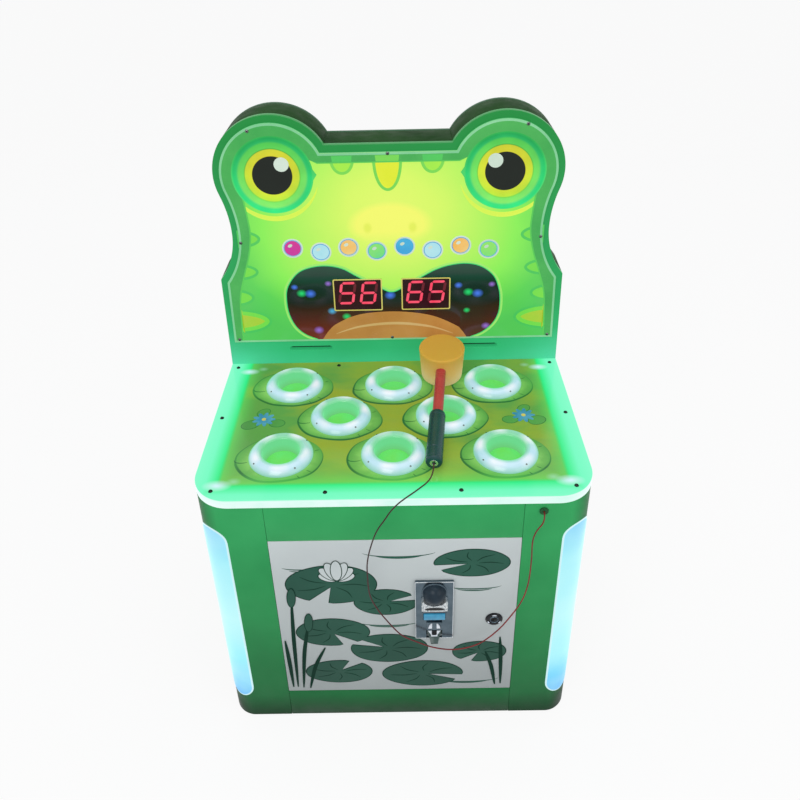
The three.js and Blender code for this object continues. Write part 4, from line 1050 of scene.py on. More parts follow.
def cord_jacket() -> Material:
    """The cord's rubber jacket, dark near the mallet and red on its lower and right stretch.

    Returns:
        The material.
    """
    n = Nodes("cord_jacket")
    x, _, z = n.parts()
    lean = n.math("SUBTRACT", n.times(x, 1.2), n.times(z, 0.6))
    colour = n.ramp(n.remap(lean, 0, 1, -0.34, 0.0), (0.0, 46, 30, 28), (0.5, 96, 26, 34), (1.0, 140, 34, 36))
    colour = n.mix(n.remap(n.noise(60), 0, 0.5, 0.35, 0.65), colour, (60, 30, 30))
    return n.finish(colour, 0.0, (0.38, 0.3), n.noise(1200, 2), 0.3, 0.04)


ARTWORK = {make.__name__: make for make in (
    header_board, header_print, eye_print, deck_print, strip_light, window_dark, foam_amber, cord_jacket,
)}


@dataclass
class Palette:
    """All the machine's materials, made once and kept by name."""

    made: dict[str, Material] = field(default_factory=dict)

    def __getitem__(self, name: str) -> Material:
        """Gives the material of this name, made at its first use."""
        if name not in self.made:
            self.made[name] = ARTWORK[name]() if name in ARTWORK else FINISHES[name].build(name)
        return self.made[name]


# What every group of pieces shares


def keep(obj: Object, name: str, slot: str, body: str = "cabinet", node: str = "") -> None:
    """Finishes a piece: its name, what it stands for and the body it rides on.

    Args:
        obj: The dressed piece, in place in the row frame.
        name: The piece's name.
        slot: The record's material slot; not used.
        body: The CAD body that it moves with.
        node: The CAD node that it stands for, if it does.
    """
    obj.name = obj.data.name = name
    if node:
        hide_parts(node)
    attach(obj, body)
    LOG.info("%s rides on %s", name, body)


@dataclass
class Group:
    """A group of pieces: how its parts get their finishes and its pieces their bodies."""

    palette: Palette
    axis: Axis = Axis.FRONT
    face: float = 0.0

    def dress(self, obj: Object, finish: str) -> Object:
        """Gives a part its finish and gives the part back."""
        obj.data.materials.append(self.palette[finish])
        return obj

    def coat(self, finish: str, *nodes: str) -> None:
        """Gives CAD nodes that stay visible their finish."""
        for node in nodes:
            frame["nodes"][node].data.materials.clear()
            self.dress(frame["nodes"][node], finish)

    def skin(self, node: str, obj: Object, finish: str = "", name: str = "") -> None:
        """Puts a piece in a CAD node's place.

        Args:
            node: The node.
            obj: The piece.
            finish: Its finish, or nothing when its parts have theirs.
            name: Its name, by default the node's with _skin.
        """
        if finish:
            self.dress(obj, finish)
        keep(obj, name or f"{node}_skin", SLOTS[node], BODIES[node], node)

    def flat(self, outline: Line, finish: str, low: float, high: float, holes: Sequence[Line] = (),
             edge: float = 0.0) -> Object:
        """A plate in its finish, facing the group's way: outline, depths, holes and edge radius."""
        return self.dress(plate(outline, self.axis, low, high, holes, edge), finish)

    def ink(self, outline: Line, finish: str, level: float, holes: Sequence[Line] = ()) -> Object:
        """A thin shape, for print and for painted shade and glow, whose face stands ``level`` over the
        group's printed face.
        """
        low = self.face + level - INK if self.axis is Axis.UP else self.face - level
        return self.flat(outline, finish, low, low + INK, holes)

    def spun(self, profile: Line, place: Vector, finish: str, segments: int,
             axis: Axis = Axis.FRONT) -> Object:
        """A turned part in its finish."""
        return self.dress(turned(profile, place, axis, segments), finish)

    def screws(self, places: Sequence[Point3], radius: float, finish: str) -> Object:
        """Domed screws with cross recesses, which face the group's way.

        Args:
            places: Drawing points where the heads sit.
            radius: The heads' radius in millimetres.
            finish: The heads' finish.

        Returns:
            The screws as one object.
        """
        height = radius * 0.55
        shape = ((0.0, 1.0), (0.4, 0.95), (0.8, 0.6), (1.0, 0.0), (0.0, 0.0))
        dome = [(radius * r, height * h) for r, h in shape]
        up = self.axis is Axis.UP
        parts = []
        for x, y, z in places:
            parts.append(self.spun(dome, at(x, y, z), finish, 20, self.axis))
            # Each cross recess is a thin dark plate of painted shade.
            low = z + height * 0.82 if up else y - height * 1.02
            for turn in (math.degrees(0.4), 90 + math.degrees(0.4)):
                line = [(x + end * u, (y if up else z) + end * v) for u, v in [polar(turn)]
                        for end in (-radius * 0.62, radius * 0.62)]
                parts.append(self.flat(stroke(line, radius * 0.26), "print_black", low, low + height * 0.2))
        return joined(parts)


# The machine's groups


@dataclass
class Cabinet(Group):
    """Columns with their light strips, panels, rails and the base."""

    strip_start: float = 263.0
    strip_width: float = 60.0
    strip_bottom: float = 55.0
    strip_top: float = 478.0
    strip_proud: float = 0.4
    strip_border: float = 3.0
    strip_edge: float = 0.6
    spread: tuple[float, ...] = tuple(0.5 - 0.5 * math.cos(math.pi * i / 48) for i in range(49))

    @staticmethod
    def wrapped(side: int, run: float, depth: float, z: float) -> Vector:
        """A point of the wrapped corner.

        Args:
            side: -1 for the left corner, 1 for the right.
            run: Distance from the middle along the outer face.
            depth: Distance behind that face.
            z: Height.

        Returns:
            The point in metres.
        """
        start = HALF_CABINET - CABINET_RADIUS
        end = start + CABINET_RADIUS * math.pi / 2
        if run <= start:
            return at(side * run, depth, z)
        if run >= end:
            return at(side * (HALF_CABINET - depth), CABINET_RADIUS + run - end, z)
        a, r = (run - start) / CABINET_RADIUS, CABINET_RADIUS - depth
        return at(side * (start + r * math.sin(a)), CABINET_RADIUS - r * math.cos(a), z)

    def strip_span(self, along: float, gap: float, inset: float) -> Point2:
        """The round-ended strip's height range.

        Args:
            along: Distance from the strip's inner edge.
            gap: How far the range is widened.
            inset: How far the outline is drawn in.

        Returns:
            Its lowest and highest point there.
        """
        half = self.strip_width / 2
        aside = half - min(max(along, inset), self.strip_width - inset)
        drop = half - math.sqrt(max((half - inset) ** 2 - aside**2, 0.0))
        return self.strip_bottom + drop - gap, self.strip_top - drop + gap

    def column(self, side: int) -> Object:
        """One corner column with its round-ended window.

        Args:
            side: -1 for the left corner, 1 for the right.

        Returns:
            The column.
        """
        end = HALF_CABINET - CABINET_RADIUS + CABINET_RADIUS * math.pi / 2 + COLUMN_SIDE - CABINET_RADIUS
        window = [self.strip_start - GAP + s * (self.strip_width + 2 * GAP) for s in self.spread]
        runs = [COLUMN_EDGE, 230.0, 250.0, *window, 326.0, 329.9, 345.0, end]
        first, last = 3, 3 + len(window) - 1
        verts, faces = [], []
        for run in runs:
            heights = (WALL_BOTTOM, *self.strip_span(run - self.strip_start, GAP, 0), WALL_TOP)
            verts += [self.wrapped(side, run, depth, z) for depth in (0.0, WALL) for z in heights]
        for i in range(len(runs) - 1):
            a, b = i * 8, (i + 1) * 8
            opened = first <= i < last
            for p in (0, 2, 4, 6) if opened else (0, 1, 2, 4, 5, 6):
                faces.append((a + p, b + p, b + p + 1, a + p + 1))
            for row in (0, 1, 2, 3) if opened else (0, 3):
                faces.append((a + row, b + row, b + row + 4, a + row + 4))
        for i, bands in ((0, (0, 1, 2)), (len(runs) - 1, (0, 1, 2)), (first, (1,)), (last, (1,))):
            faces += [(i * 8 + band, i * 8 + band + 1, i * 8 + band + 5, i * 8 + band + 4) for band in bands]
        return from_faces(verts, faces)

    def slab(self, side: int, inset: float, front: float, back: float) -> Object:
        """A round-ended slab that wraps the corner.

        Args:
            side: -1 for the left corner, 1 for the right.
            inset: How far its outline is drawn in.
            front: Its front's depth behind the column's face, negative when proud.
            back: Its back's depth.

        Returns:
            The slab.
        """
        rings, soft = [], self.strip_edge
        for share in self.spread:
            along = inset + share * (self.strip_width - 2 * inset)
            low, high = self.strip_span(along, 0, inset)
            section = ((front + soft, low), (front, low + soft), (front, high - soft), (front + soft, high),
                       (back, high), (back, low))
            rings.append([self.wrapped(side, self.strip_start + along, depth, z) for depth, z in section])
        return skinned(rings)

    def build(self) -> None:
        """Makes the cabinet's outer skin."""
        proud = self.strip_proud
        for side, name in SIDES:
            self.skin(f"{name}_corner_column", self.column(side), "front_green")
            edge = self.dress(self.slab(side, 0.0, -proud, WALL), "strip_edge")
            lens = self.dress(self.slab(side, self.strip_border, -proud - 0.5, -proud + 0.3), "strip_light")
            self.skin(f"{name}_light_strip", joined([edge, lens]))
        half = DOOR_HALF + 0.2
        rails = {"top": (DOOR_TOP + 0.5, WALL_TOP), "bottom": (WALL_BOTTOM, DOOR_BOTTOM - 0.5)}
        for name, (low, high) in rails.items():
            self.skin(f"front_{name}_rail", box((-half, 0, low), (half, WALL, high), 0.8), "front_green")
        self.coat("side_green", "left_side_panel", "right_side_panel", "back_panel", "rear_door")
        self.coat("plywood", "base_board")
        self.coat("chrome", "rear_lock")
        head = [(0, 2), (3, 1.7), (4.4, 0), (0, 0)]
        heads = [self.spun(head, at(x, CABINET_DEPTH, z), "screw_steel", 20, Axis.BACK)
                 for x in (-283, 283) for z in (30, 200, 350, 510)]
        keep(joined(heads), "back_panel_screws", "chrome")


@dataclass
class Deck(Group):
    """The lit deck: clear sheet over its print, rim, rings, moles and lifts."""

    axis: Axis = Axis.UP
    face: float = DECK_TOP
    lip: tuple[Point2, ...] = (
        (51.6, 0.3), (51.6, 2.4), (50.6, 4.2), (48.6, 6.6), (45.0, 9.6), (42.0, 11.2), (39.8, 11.8),
        (37.0, 11.9), (33.0, 11.0), (30.6, 9.4), (30.0, 8.0),
    )
    throat: float = DECK_TOP - 25
    throat_outer: float = 33.0
    mole_top: float = 543.0
    mole_foot: float = 505.0
    mole_crown: tuple[Point2, ...] = (
        (0.0, 0.3), (8, 0.8), (14.8, 1.5), (20, 2.9), (24, 4.4), (26.1, 5.6), (27, 7.4),
    )
    stem: float = 5.0

    def build(self) -> None:
        """Makes the deck from its board up to the moles."""
        holes = [ellipse(x, y, 33.3, 33.3) for x, y in HOLES]
        cover = plate(mirrored(deck_half(0)), Axis.UP, DECK_TOP - COVER, DECK_TOP, holes, 1.0)
        self.skin("deck_cover", cover, "deck_print")
        border = mirrored([*deck_half(0), *reversed(deck_half(RIM_WIDTH))])
        rim = plate(border, Axis.UP, RIM_BOTTOM, DECK_TOP - COVER - 0.05, (), 0.8)
        self.skin("deck_rim", rim, "band_light")
        self.coat("plywood", "deck_board", "mechanism_tray")
        keep(joined([part for x, y in HOLES for part in self.marks(x, y)]), "pad_marks", "clear_cover")
        keep(joined([part for side, _ in SIDES for part in self.flower(side)]), "pond_flowers", "clear_cover")
        places = ((294.5, 338.5), (295, 186), (277, 8), (102.7, 2), (103.9, 340.3))
        heads = [(side * x, y, DECK_TOP) for x, y in places for side, _ in SIDES]
        keep(self.screws(heads, 3.6, "screw_dark"), "deck_screws", "chrome")
        for number, (x, y) in enumerate(HOLES, 1):
            self.ring(number, x, y)
            self.skin(f"mole_{number}", turned(self.mole_profile(), at(x, y, 0), Axis.UP, 56), "mole_green")
            self.coat("coil_black", f"lift_{number}")

    def marks(self, x: float, y: float) -> list[Object]:
        """A lily pad's notch on the left and its short veins at the lower right.

        Args:
            x: The hole's middle.
            y: The hole's middle.

        Returns:
            The printed lines.
        """
        notch = flowing([(x - 74, y - 10), (x - 70, y - 15), (x - 62, y - 16.5), (x - 52, y - 15)], 5)
        parts = [self.ink(stroke(notch, 1.8, 0.6), "pad_line", 0.1)]
        for angle, start, end in ((-38, 0.8, 0.94), (-58, 0.84, 0.97), (24, 0.82, 0.93)):
            c, s = polar(angle)
            vein = [(x + PAD_SHIFT[0] + PAD_RADII[0] * c * t, y + PAD_SHIFT[1] + PAD_RADII[1] * s * t)
                    for t in (start, (start + end) / 2, end)]
            parts.append(self.ink(stroke(vein, 1.2, 0.6), "pad_line", 0.1))
        return parts

    def flower(self, side: int) -> list[Object]:
        """A blue water flower between three small leaves.

        Args:
            side: -1 for the deck's left side, 1 for the right.

        Returns:
            The printed shapes.
        """
        parts = []
        x, y = side * 222, 180
        for k, (dx, dy, r) in enumerate(((-24, -11, 13), (21, -14, 15), (3, 19, 12))):
            leaf = ellipse(x + side * dx, y + dy, r, r * 0.72, 20 * k)
            parts += [self.ink(grown(leaf, 1.0), "pad_line", 0.1), self.ink(leaf, "leaf_green", 0.16)]
        for ring, (count, reach, width) in enumerate(((9, 19, 7.5), (7, 12, 5.5))):
            for k in range(count):
                turn = 360 * k / count + 18 * ring
                c, s = polar(turn)
                petal = ellipse(x + reach * 0.55 * c, y + reach * 0.5 * s, reach * 0.5, width * 0.5, turn, 28)
                parts.append(self.ink(petal, "petal_blue", 0.22 + 0.14 * ring + 0.02 * (k % 3)))
        return [*parts, self.ink(ellipse(x, y, 3.8, 3.8, 0, 28), "petal_heart", 0.5)]

    def ring(self, number: int, x: float, y: float) -> None:
        """One lit ring, a smooth raised collar with a throat, and its small screws.

        Args:
            number: The ring's number.
            x: Its middle.
            y: Its middle.
        """
        inner, outer = RING_THROAT, self.throat_outer
        profile = [(inner, self.throat), (outer, self.throat), (outer, DECK_TOP + GAP)]
        profile += [(r, DECK_TOP + h) for r, h in flowing(self.lip, 3)]
        profile.append((inner, self.throat))
        self.palette.made[f"ring_light_{number}"] = ring_light(number, x, y)
        self.skin(f"hole_ring_{number}", turned(profile, at(x, y, 0), Axis.UP, 96), f"ring_light_{number}")
        dot = [(0, 1.0), (1.2, 0.8), (1.8, 0), (0, -3)]
        dots = [self.spun(dot, at(px, py, DECK_TOP + 7.8), "screw_steel", 14, Axis.UP)
                for px, py in arc(x, y, 47.0, 35, 305, 3)]
        keep(joined(dots), f"ring_{number}_screws", "chrome")

    def mole_profile(self) -> list[Point2]:
        """A mole's crowned head on its stem, with stop collar and clip.

        Returns:
            Radius and height pairs.
        """
        stem, collar, clip, tail = self.stem, 472.0, 386.9, 377.9
        crown = [(r, self.mole_top - drop) for r, drop in self.mole_crown]
        return [*crown, (27, self.mole_foot), (stem, self.mole_foot - 4), (stem, collar + 5),
                (10, collar + 5), (10, collar), (stem, collar), (stem, clip), (9, clip), (9, clip - 3),
                (stem, tail), (0, tail)]


@dataclass
class Header(Group):
    """The light-box header with its printed panel, displays and speakers."""

    face: float = PANEL_FRONT
    slot_x: float = 155.3
    slot_z: float = 582.5
    slot_half: float = 35.5
    mouth: tuple[Point2, ...] = (
        (-140, 605.7), (-161.5, 616), (-178.5, 634), (-188.3, 660), (-190.7, 687.4), (-186.7, 714.9),
        (-169.2, 741), (-147.6, 752.9), (-117.5, 757), (-88, 751), (-62, 735), (-18, 709), (-0.3, 702),
        (18, 709), (60.1, 735.1), (80, 746), (104.6, 754.1), (134, 757), (161, 749.7), (182.4, 731),
        (192.6, 704), (195.3, 679.2), (193.3, 654.6), (183.5, 633.3), (165.6, 615.7), (144, 605.7),
    )
    arch: tuple[Point2, ...] = (
        (-131, PANEL_BOTTOM), (-118, 624), (-101.4, 639), (-59.7, 657), (4.8, 662), (69, 653), (115.5, 631),
        (128, 619), (137, PANEL_BOTTOM),
    )
    border: tuple[Point2, ...] = (
        (281, 604.8), (280, 640), (276, 695), (264, 740), (251, 780), (244, 818), (245, 850), (248, 880),
    )
    side_spots: tuple[tuple[float, float, float, float], ...] = (
        (266, 812, 40, 17), (272, 748, 36, 16), (283, 696, 34, 17), (288, 646, 66, 27),
    )
    dots: tuple[str, ...] = ("pink", "sky", "amber", "green", "blue", "sky", "amber", "green")

    def build(self) -> None:
        """Makes the box, then the panel and what is printed on it."""
        self.shell()
        self.panel()
        parts = [part for side, _ in SIDES for part in self.eye(side)] + self.window()
        keep(joined(parts), "header_prints", "header_print")
        dots = [part for k in range(len(self.dots)) for part in self.dot(k)]
        keep(joined(dots), "header_dots", "header_print")
        for (side, name), values in zip(SIDES, ((5, 6), (6, 5))):
            self.display(side * DISPLAY_X, name, values)
        places = ((-227, 1003), (227, 1006), (-1, 961.4), (-261, 805), (261, 807), (-287, 607), (287, 607),
                  (-1.2, 606.5))
        heads = self.screws([(x, PANEL_FRONT - 0.2, z) for x, z in places], 3.2, "screw_steel")
        keep(heads, "header_screws", "chrome")
        self.coat("black_plastic", "left_speaker", "right_speaker")

    def shell(self) -> None:
        """Front board, side band and back board."""
        outline = head_outline(0, RIM_BOTTOM)
        slots = [arc(s * self.slot_x + self.slot_half, self.slot_z, 4.5, -90, 90, 8)
                 + arc(s * self.slot_x - self.slot_half, self.slot_z, 4.5, 90, 270, 8) for s, _ in SIDES]
        front = plate(outline, Axis.FRONT, DECK_REACH, DECK_REACH + 12, [head_outline(26, 615), *slots], 0.6)
        self.skin("header_shell", front, "header_board", "header_front_board")
        hollow = [head_outline(12, RIM_BOTTOM + 12)]
        keep(self.flat(outline, "header_side", DECK_REACH + 12.05, 425.5, hollow, 0.3), "header_side_band",
             SLOTS["header_shell"])
        keep(self.flat(outline, "side_green", 425.6, CABINET_DEPTH, (), 0.6), "header_back_board",
             SLOTS["header_shell"])

    def panel(self) -> None:
        """The printed sheet, the spots that run in from its edge, its border of painted shade and its cut
        edge painted pale as a glow.
        """
        windows = [centred_box(s * DISPLAY_X, DISPLAY_Z, 43.5, 32, 1) for s, _ in SIDES]
        sheet = plate(head_outline(12, 601), Axis.FRONT, PANEL_FRONT, PANEL_FRONT + 4, windows, 0.8)
        self.skin("header_panel", sheet, "header_print", "header_panel_sheet")
        parts = []
        for s, _ in SIDES:
            for x, z, reach, half in self.side_spots:
                spot = [(s * (x - reach * u), z + half * v) for u, v in arc(0, 0, 1, -90, 90, 28)]
                parts += self.spot(spot, "print_line", "print_core")
            parts.append(self.ink(grown(spot, -13), "print_sun", 0.24))
            parts += self.spot(self.drop(s * 75 - 2, 21, 34), "brow_line", "brow_core")
        parts += self.spot(self.drop(-2, 25, 64), "brow_line", "print_yellow")
        # A border band of painted shade, where the box's frame keeps the light from the sheet, with a softer
        # fringe.
        right = flowing(self.border, 6) + arc(EYE_X, EYE_Z, 64, math.degrees(-0.5), math.degrees(2.7), 24)
        for k, finish in enumerate(("fringe_shade", "border_shade")):
            cut = mirrored([*((x - 2.6 + 2.6 * k, z) for x, z in right), (118, 946 + 2 * k)])
            parts.append(self.ink(head_outline(15.6, 604.6), finish, 0.26 + 0.08 * k, [cut]))
        # The sheet's cut edge, painted pale as a glow.
        parts.append(self.ink(head_outline(12.2, 601.2), "edge_glow", 0.4, [head_outline(16, 605)]))
        for x, half, finish in ((-77, 17, "print_line"), (-2, 20, "brow_line"), (73, 17, "print_line")):
            tab = [(x - half, 958.6), (x + half, 958.6), (x + half * 0.94, 948.4), (x - half * 0.94, 948.4)]
            parts.append(self.ink(tab, finish, 0.44))
        keep(joined(parts), "panel_spots_and_border", "header_print")

    def spot(self, outline: Line, line: str, core: str) -> list[Object]:
        """A printed spot with a soft line round its core."""
        return [self.ink(outline, line, 0.12), self.ink(grown(outline, -5), core, 0.2)]

    @staticmethod
    def drop(x: float, half: float, length: float) -> list[Point2]:
        """A long drop that hangs from the panel's top edge: its middle, half width and length."""
        return [(x + half * u, 960 - length * abs(v) ** 0.8) for u, v in arc(0, 0, 1, 0, 180, 32)]

    def eye(self, side: int) -> list[Object]:
        """One eye of plain rings, with a small point on its inner side.

        Args:
            side: -1 for the left eye, 1 for the right.

        Returns:
            Its printed shapes.
        """
        x, z = side * EYE_X, EYE_Z
        tip = []
        for u, v in ellipse(0, 0, 68.5, 67.5, steps=90):
            near = max(0.0, 1 - abs(math.degrees(math.atan2(v, u))) / 7)
            tip.append((x - side * u * (1 + 0.08 * near), z + v))
        return [self.ink(stroke(arc(x, z - 1, 76.5, 196, 344, 40), 9, 0.9), "lid_glow", 0.2),
                self.ink(tip, "eye_print", 0.42),
                self.ink(ellipse(side * 177, 946, 12.4, 12.4), "print_white", 0.84)]

    def window(self) -> list[Object]:
        """The dark window with its two thin borders, and the arch with its crease.

        Returns:
            The printed shapes.
        """
        mouth = [*flowing(self.mouth, 5), (144, PANEL_BOTTOM), (-140, PANEL_BOTTOM)]
        parts = []
        rows = ((5.6, "print_pale", 0.3), (1.8, "print_mint", 0.36), (0.0, "window_dark", 0.42))
        for reach, finish, level in rows:
            line = [(x, max(z, PANEL_BOTTOM)) for x, z in grown(mouth, reach)]
            parts.append(self.ink(line, finish, level))
        parts.append(self.ink(flowing(self.arch), "print_orange", 0.48))
        crease = flowing([(-106, 616), (-60, 631), (5, 637), (68, 629), (112, 613)], 10)
        return [*parts, self.ink(stroke(crease, 5.5, 0.9), "print_peach", 0.56)]

    def dot(self, k: int) -> list[Object]:
        """One of the plain round dots over the window: rim, line, face and light.

        Args:
            k: Its number, from the left.

        Returns:
            Its printed shapes.
        """
        x, z = (k - 3.5) * 49, 789 + 4 * (-1) ** k
        rows = ((18.5, "print_white", 0.3), (15.6, "dot_blue", 0.36), (14.2, f"dot_{self.dots[k]}", 0.42))
        parts = [self.ink(ellipse(x, z, r, r), finish, level) for r, finish, level in rows]
        return [*parts, self.ink(ellipse(x - 4, z + 5, 4.2, 2.8, 30), "print_white", 0.48)]

    def display(self, x: float, side: str, values: tuple[int, int]) -> None:
        """One display: its body, dark glass, two seven-bar digits and yellow frame.

        Args:
            x: Its middle.
            side: Its side's name.
            values: The two digits that it shows.
        """
        body = box((x - 43.2, PANEL_FRONT + 0.2, 666.1), (x + 43.2, PANEL_FRONT + 18.2, 729.5), 0.4)
        self.skin(f"{side}_display", body, "display_dark", f"{side}_display_body")
        opening = centred_box(x, DISPLAY_Z, 42, 30.4, 1.8)
        parts = [self.ink(centred_box(x, DISPLAY_Z, 43, 31.4, 2), "display_dark", 0.66),
                 self.ink(centred_box(x, DISPLAY_Z, 44.2, 32.6, 3), "frame_yellow", 0.8, [opening])]
        for k, value in enumerate(values):
            parts += self.digit(x - 19 + 39 * k, value)
        keep(joined(parts), f"{side}_display_face", "display")

    def digit(self, x: float, value: int) -> list[Object]:
        """The seven bars of one digit, lit or dark.

        Args:
            x: Its middle.
            value: 5 or 6.

        Returns:
            The bars.
        """
        lit = {5: "afgcd", 6: "afgecd"}[value]
        w, h, t, lean = 12.2, 20.5, 2.4, 0.15
        bars = {"a": (0, h), "g": (0, 0), "d": (0, -h), "f": (-w, h / 2), "b": (w, h / 2), "e": (-w, -h / 2),
                "c": (w, -h / 2)}
        out = []
        for key, (dx, dz) in bars.items():
            half = (h / 2 if dx else w) - 0.9
            shape = [(-half, 0), (-half + t, t), (half - t, t), (half, 0), (half - t, -t), (-half + t, -t)]
            if dx:
                shape = [(-v, u) for u, v in shape]
            points = [(x + dx + u + lean * (dz + v), DISPLAY_Z + 4 + dz + v) for u, v in shape]
            out.append(self.ink(points, "digit_red" if key in lit else "digit_off", 0.74))
        return out


@dataclass
class CoinDoor(Group):
    """The door with its painted motif, coin unit, button, flap and lock."""

    chute: float = 13.2
    chute_top: float = UNIT_Z - 45.45
    pin_z: float = UNIT_Z - 47.55
    lever: float = 3.75
    dome_radius: float = 19.8
    dome_z: float = UNIT_Z + 44.7
    mouth_z: float = UNIT_Z + 17.7
    saddle_half: float = 21.5
    ripples: tuple[Point3, ...] = (
        (-14, 258, 54), (128, 344, 46), (120, 104, 60), (-150, 392, 34), (6, 424, 60),
    )
    pads: tuple[tuple[float, ...], ...] = (
        (-104, 350, 74, 44, 250), (124, 396, 60, 30, 200), (-18, 306, 52, 30, 20), (-112, 232, 62, 34, 300),
        (-16, 188, 66, 36, 150), (142, 176, 46, 26, 240), (-104, 126, 58, 30, 60), (44, 118, 70, 34, 340),
    )
    petals: tuple[Point2, ...] = ((-70, 30), (70, 30), (-46, 36), (46, 36), (-22, 40), (22, 40), (0, 42))
    reeds: tuple[tuple[float, ...], ...] = (
        (-182, 84, 236, 8), (-172, 82, 176, 22), (-160, 80, 112, 34), (182, 86, 128, -6), (172, 84, 92, -20),
        (-190, 84, 128, -4),
    )

    def build(self) -> None:
        """Makes the door and all that it carries."""
        cuts = [centred_box(UNIT_X, UNIT_Z, 26.5, 65.5, 0.5), ellipse(LOCK_X, LOCK_Z, 10, 10)]
        outline = rounded_box(-DOOR_HALF, DOOR_HALF, DOOR_BOTTOM, DOOR_TOP, 1.2)
        self.skin("coin_door", plate(outline, Axis.FRONT, 0, 15, cuts, 0.7), "door_grey")
        keep(joined(self.motif()), "door_motif", "door_paint")
        self.unit()
        self.hood()
        self.flap()
        self.lock()

    def motif(self) -> list[Object]:
        """Ripples, lily pads, a flower and reeds in dark green, a plain pond pattern.

        Returns:
            The painted shapes.
        """
        parts = []
        for x, z, rx in self.ripples:
            for m in range(2):
                line = [(u, z - 7 * m + v * 0.2) for u, v in arc(x, 0, rx * (1 - 0.34 * m), 194.4, 345.6, 24)]
                parts.append(self.ink(stroke(line, 2.8, 0.9), "motif_green", 0.1))
        for k, pad in enumerate(self.pads):
            parts += self.leaf(k, *pad)
        for k, (turn, reach) in enumerate(self.petals):
            c, s = polar(90 + turn)
            petal = ellipse(-96 + reach * 0.5 * c, 362 + reach * 0.5 * s, reach * 0.52, 8.5, 90 + turn, 40)
            parts += [self.ink(grown(petal, 1.4), "motif_line", 0.5 + 0.06 * k),
                      self.ink(petal, "motif_pale", 0.52 + 0.06 * k)]
        for k, (x, z, length, lean) in enumerate(self.reeds):
            line = flowing([(x, z), (x + lean * 0.4, z + length * 0.55), (x + lean, z + length)], 10)
            parts.append(self.ink(stroke(line, 7, 0.7), "motif_line", 0.54 + 0.05 * k))
            if k < 2:
                head = ellipse(x + lean, z + length, 6.5, 22, -4)
                parts += [self.ink(grown(head, 1.2), "motif_line", 0.9), self.ink(head, "motif_green", 0.98)]
        return parts

    def leaf(self, number: int, x: float, z: float, rx: float, rz: float, notch: float) -> list[Object]:
        """A notched lily pad with a dark line round it and curved veins.

        Args:
            number: The pad's number, which also sets its level.
            x: Its middle.
            z: Its middle.
            rx: Half its width.
            rz: Half its height.
            notch: Where its notch opens, in degrees.

        Returns:
            The painted shapes.
        """
        def spoke(angle: float, share: float) -> Point2:
            """The place at a share of the pad's radius."""
            return x + share * rx * polar(angle)[0], z + share * rz * polar(angle)[1]

        level = 0.12 + 0.26 * number / 8
        around = arc(0, 0, 1, notch + 14, notch + 346, 70)
        line = [(x + rx * u * (1 + 0.03 * math.sin(5 * u + number)), z + rz * v) for u, v in around]
        line.append(spoke(notch, 0.12))
        parts = [self.ink(grown(line, 1.6), "motif_line", level), self.ink(line, "motif_green", level + 0.1)]
        for a in [notch + 50 + 52 * m for m in range(6)]:
            vein = flowing([spoke(a, 0.16), spoke(a + math.degrees(0.16), 0.5), spoke(a, 0.84)], 6)
            parts.append(self.ink(stroke(vein, 2.0, 0.8), "motif_line", level + 0.14))
        return parts

    def unit(self) -> None:
        """The coin unit: framed plate, dome, saddle with the coin's mouth, button bezel, label and body."""
        x, z, front, chute, top = UNIT_X, UNIT_Z, UNIT_FRONT, self.chute, self.chute_top
        outline = rounded_box(x - 31.85, x + 31.85, z - 69.55, z + 69.55, 1.5)
        case = centred_box(x, z, 26, 65, 0.6)
        plate_chute = rounded_box(x - chute, x + chute, z - 69.4, top, 0.4)
        well = rounded_box(x - chute, x + chute, z - 62, top, 0.4)
        button = centred_box(x, z - 13, 18.5, 7.5, 0.8)
        slot = centred_box(x, self.mouth_z, 13.5, 1.6, 0.6)
        half, low, high = self.saddle_half, self.dome_z - 32.5, self.dome_z - 13.0
        saddle = [(x - half, high), (x - half, low + 1), (x - half + 1, low), (x + half - 1, low),
                  (x + half, low + 1), (x + half, high), (x + half - 3.4, high + 4),
                  *arc(x, self.dome_z + 1.5, 21.8, 320, 220, 20), (x - half + 3.4, high + 4)]
        mouth = [(x + 16.5 * u, self.mouth_z + (4.9 if v > 0 else 2.1) * v)
                 for u, v in ellipse(0, 0, 1, 1, 0, 48)]
        inner = rounded_box(x - 30.8, x + 30.6, z - 68.4, z + 67.8, 1)
        rows = (
            (outline, "dark_chrome", front, -0.3, [plate_chute, button, slot], 0.5),
            (outline, "chrome", front - 0.5, front + 0.1, [inner], 0.2),
            (case, "black_plastic", -0.2, 5.2, [well, button, slot]),
            (case, "black_plastic", 5.25, 62, [well], 0.4),
            (rounded_box(x - 14, x + 14, z - 63, z - 44, 0.4), "brushed", 16, 20),
            (rounded_box(x - 14, x + 14, z - 64, z - 62, 0.4), "brushed", -0.1, 20),
            (saddle, "speckled", front - 12, front, (), 0.9),
            # The coin's mouth and slot: dark plates of painted shade.
            (mouth, "slot_dark", front - 12.2, front - 11.9),
            (slot, "print_black", front - 12.3, front - 12.0),
            (centred_box(x, z - 13, 20.5, 9.5, 1.2), "dark_chrome", front - 1.2, front, [button], 0.3),
            (rounded_box(x - 19, x + 19, z - 3.2, z + 3.4, 0.8), "brushed", front - 0.6, front, (), 0.2),
        )
        place = at(x, front, self.dome_z)
        foot = [(19.7, 0), (21.2, 0), (20.9, 1.2), (19.7, 1.6)]
        parts = [self.flat(*row) for row in rows]
        parts += [self.spun([*arc(0, 0, self.dome_radius, 0, 90, 20), (0, 0)], place, "entry_dome", 72),
                  self.spun(foot, place, "dark_chrome", 72)]
        self.skin("coin_acceptor", joined(parts), name="coin_unit")
        cover = box((x - 18, front - 3, z - 20), (x + 18, front + 5, z - 6), 0.9)
        self.skin("coin_return_button", cover, "button_blue", "return_button_skin")

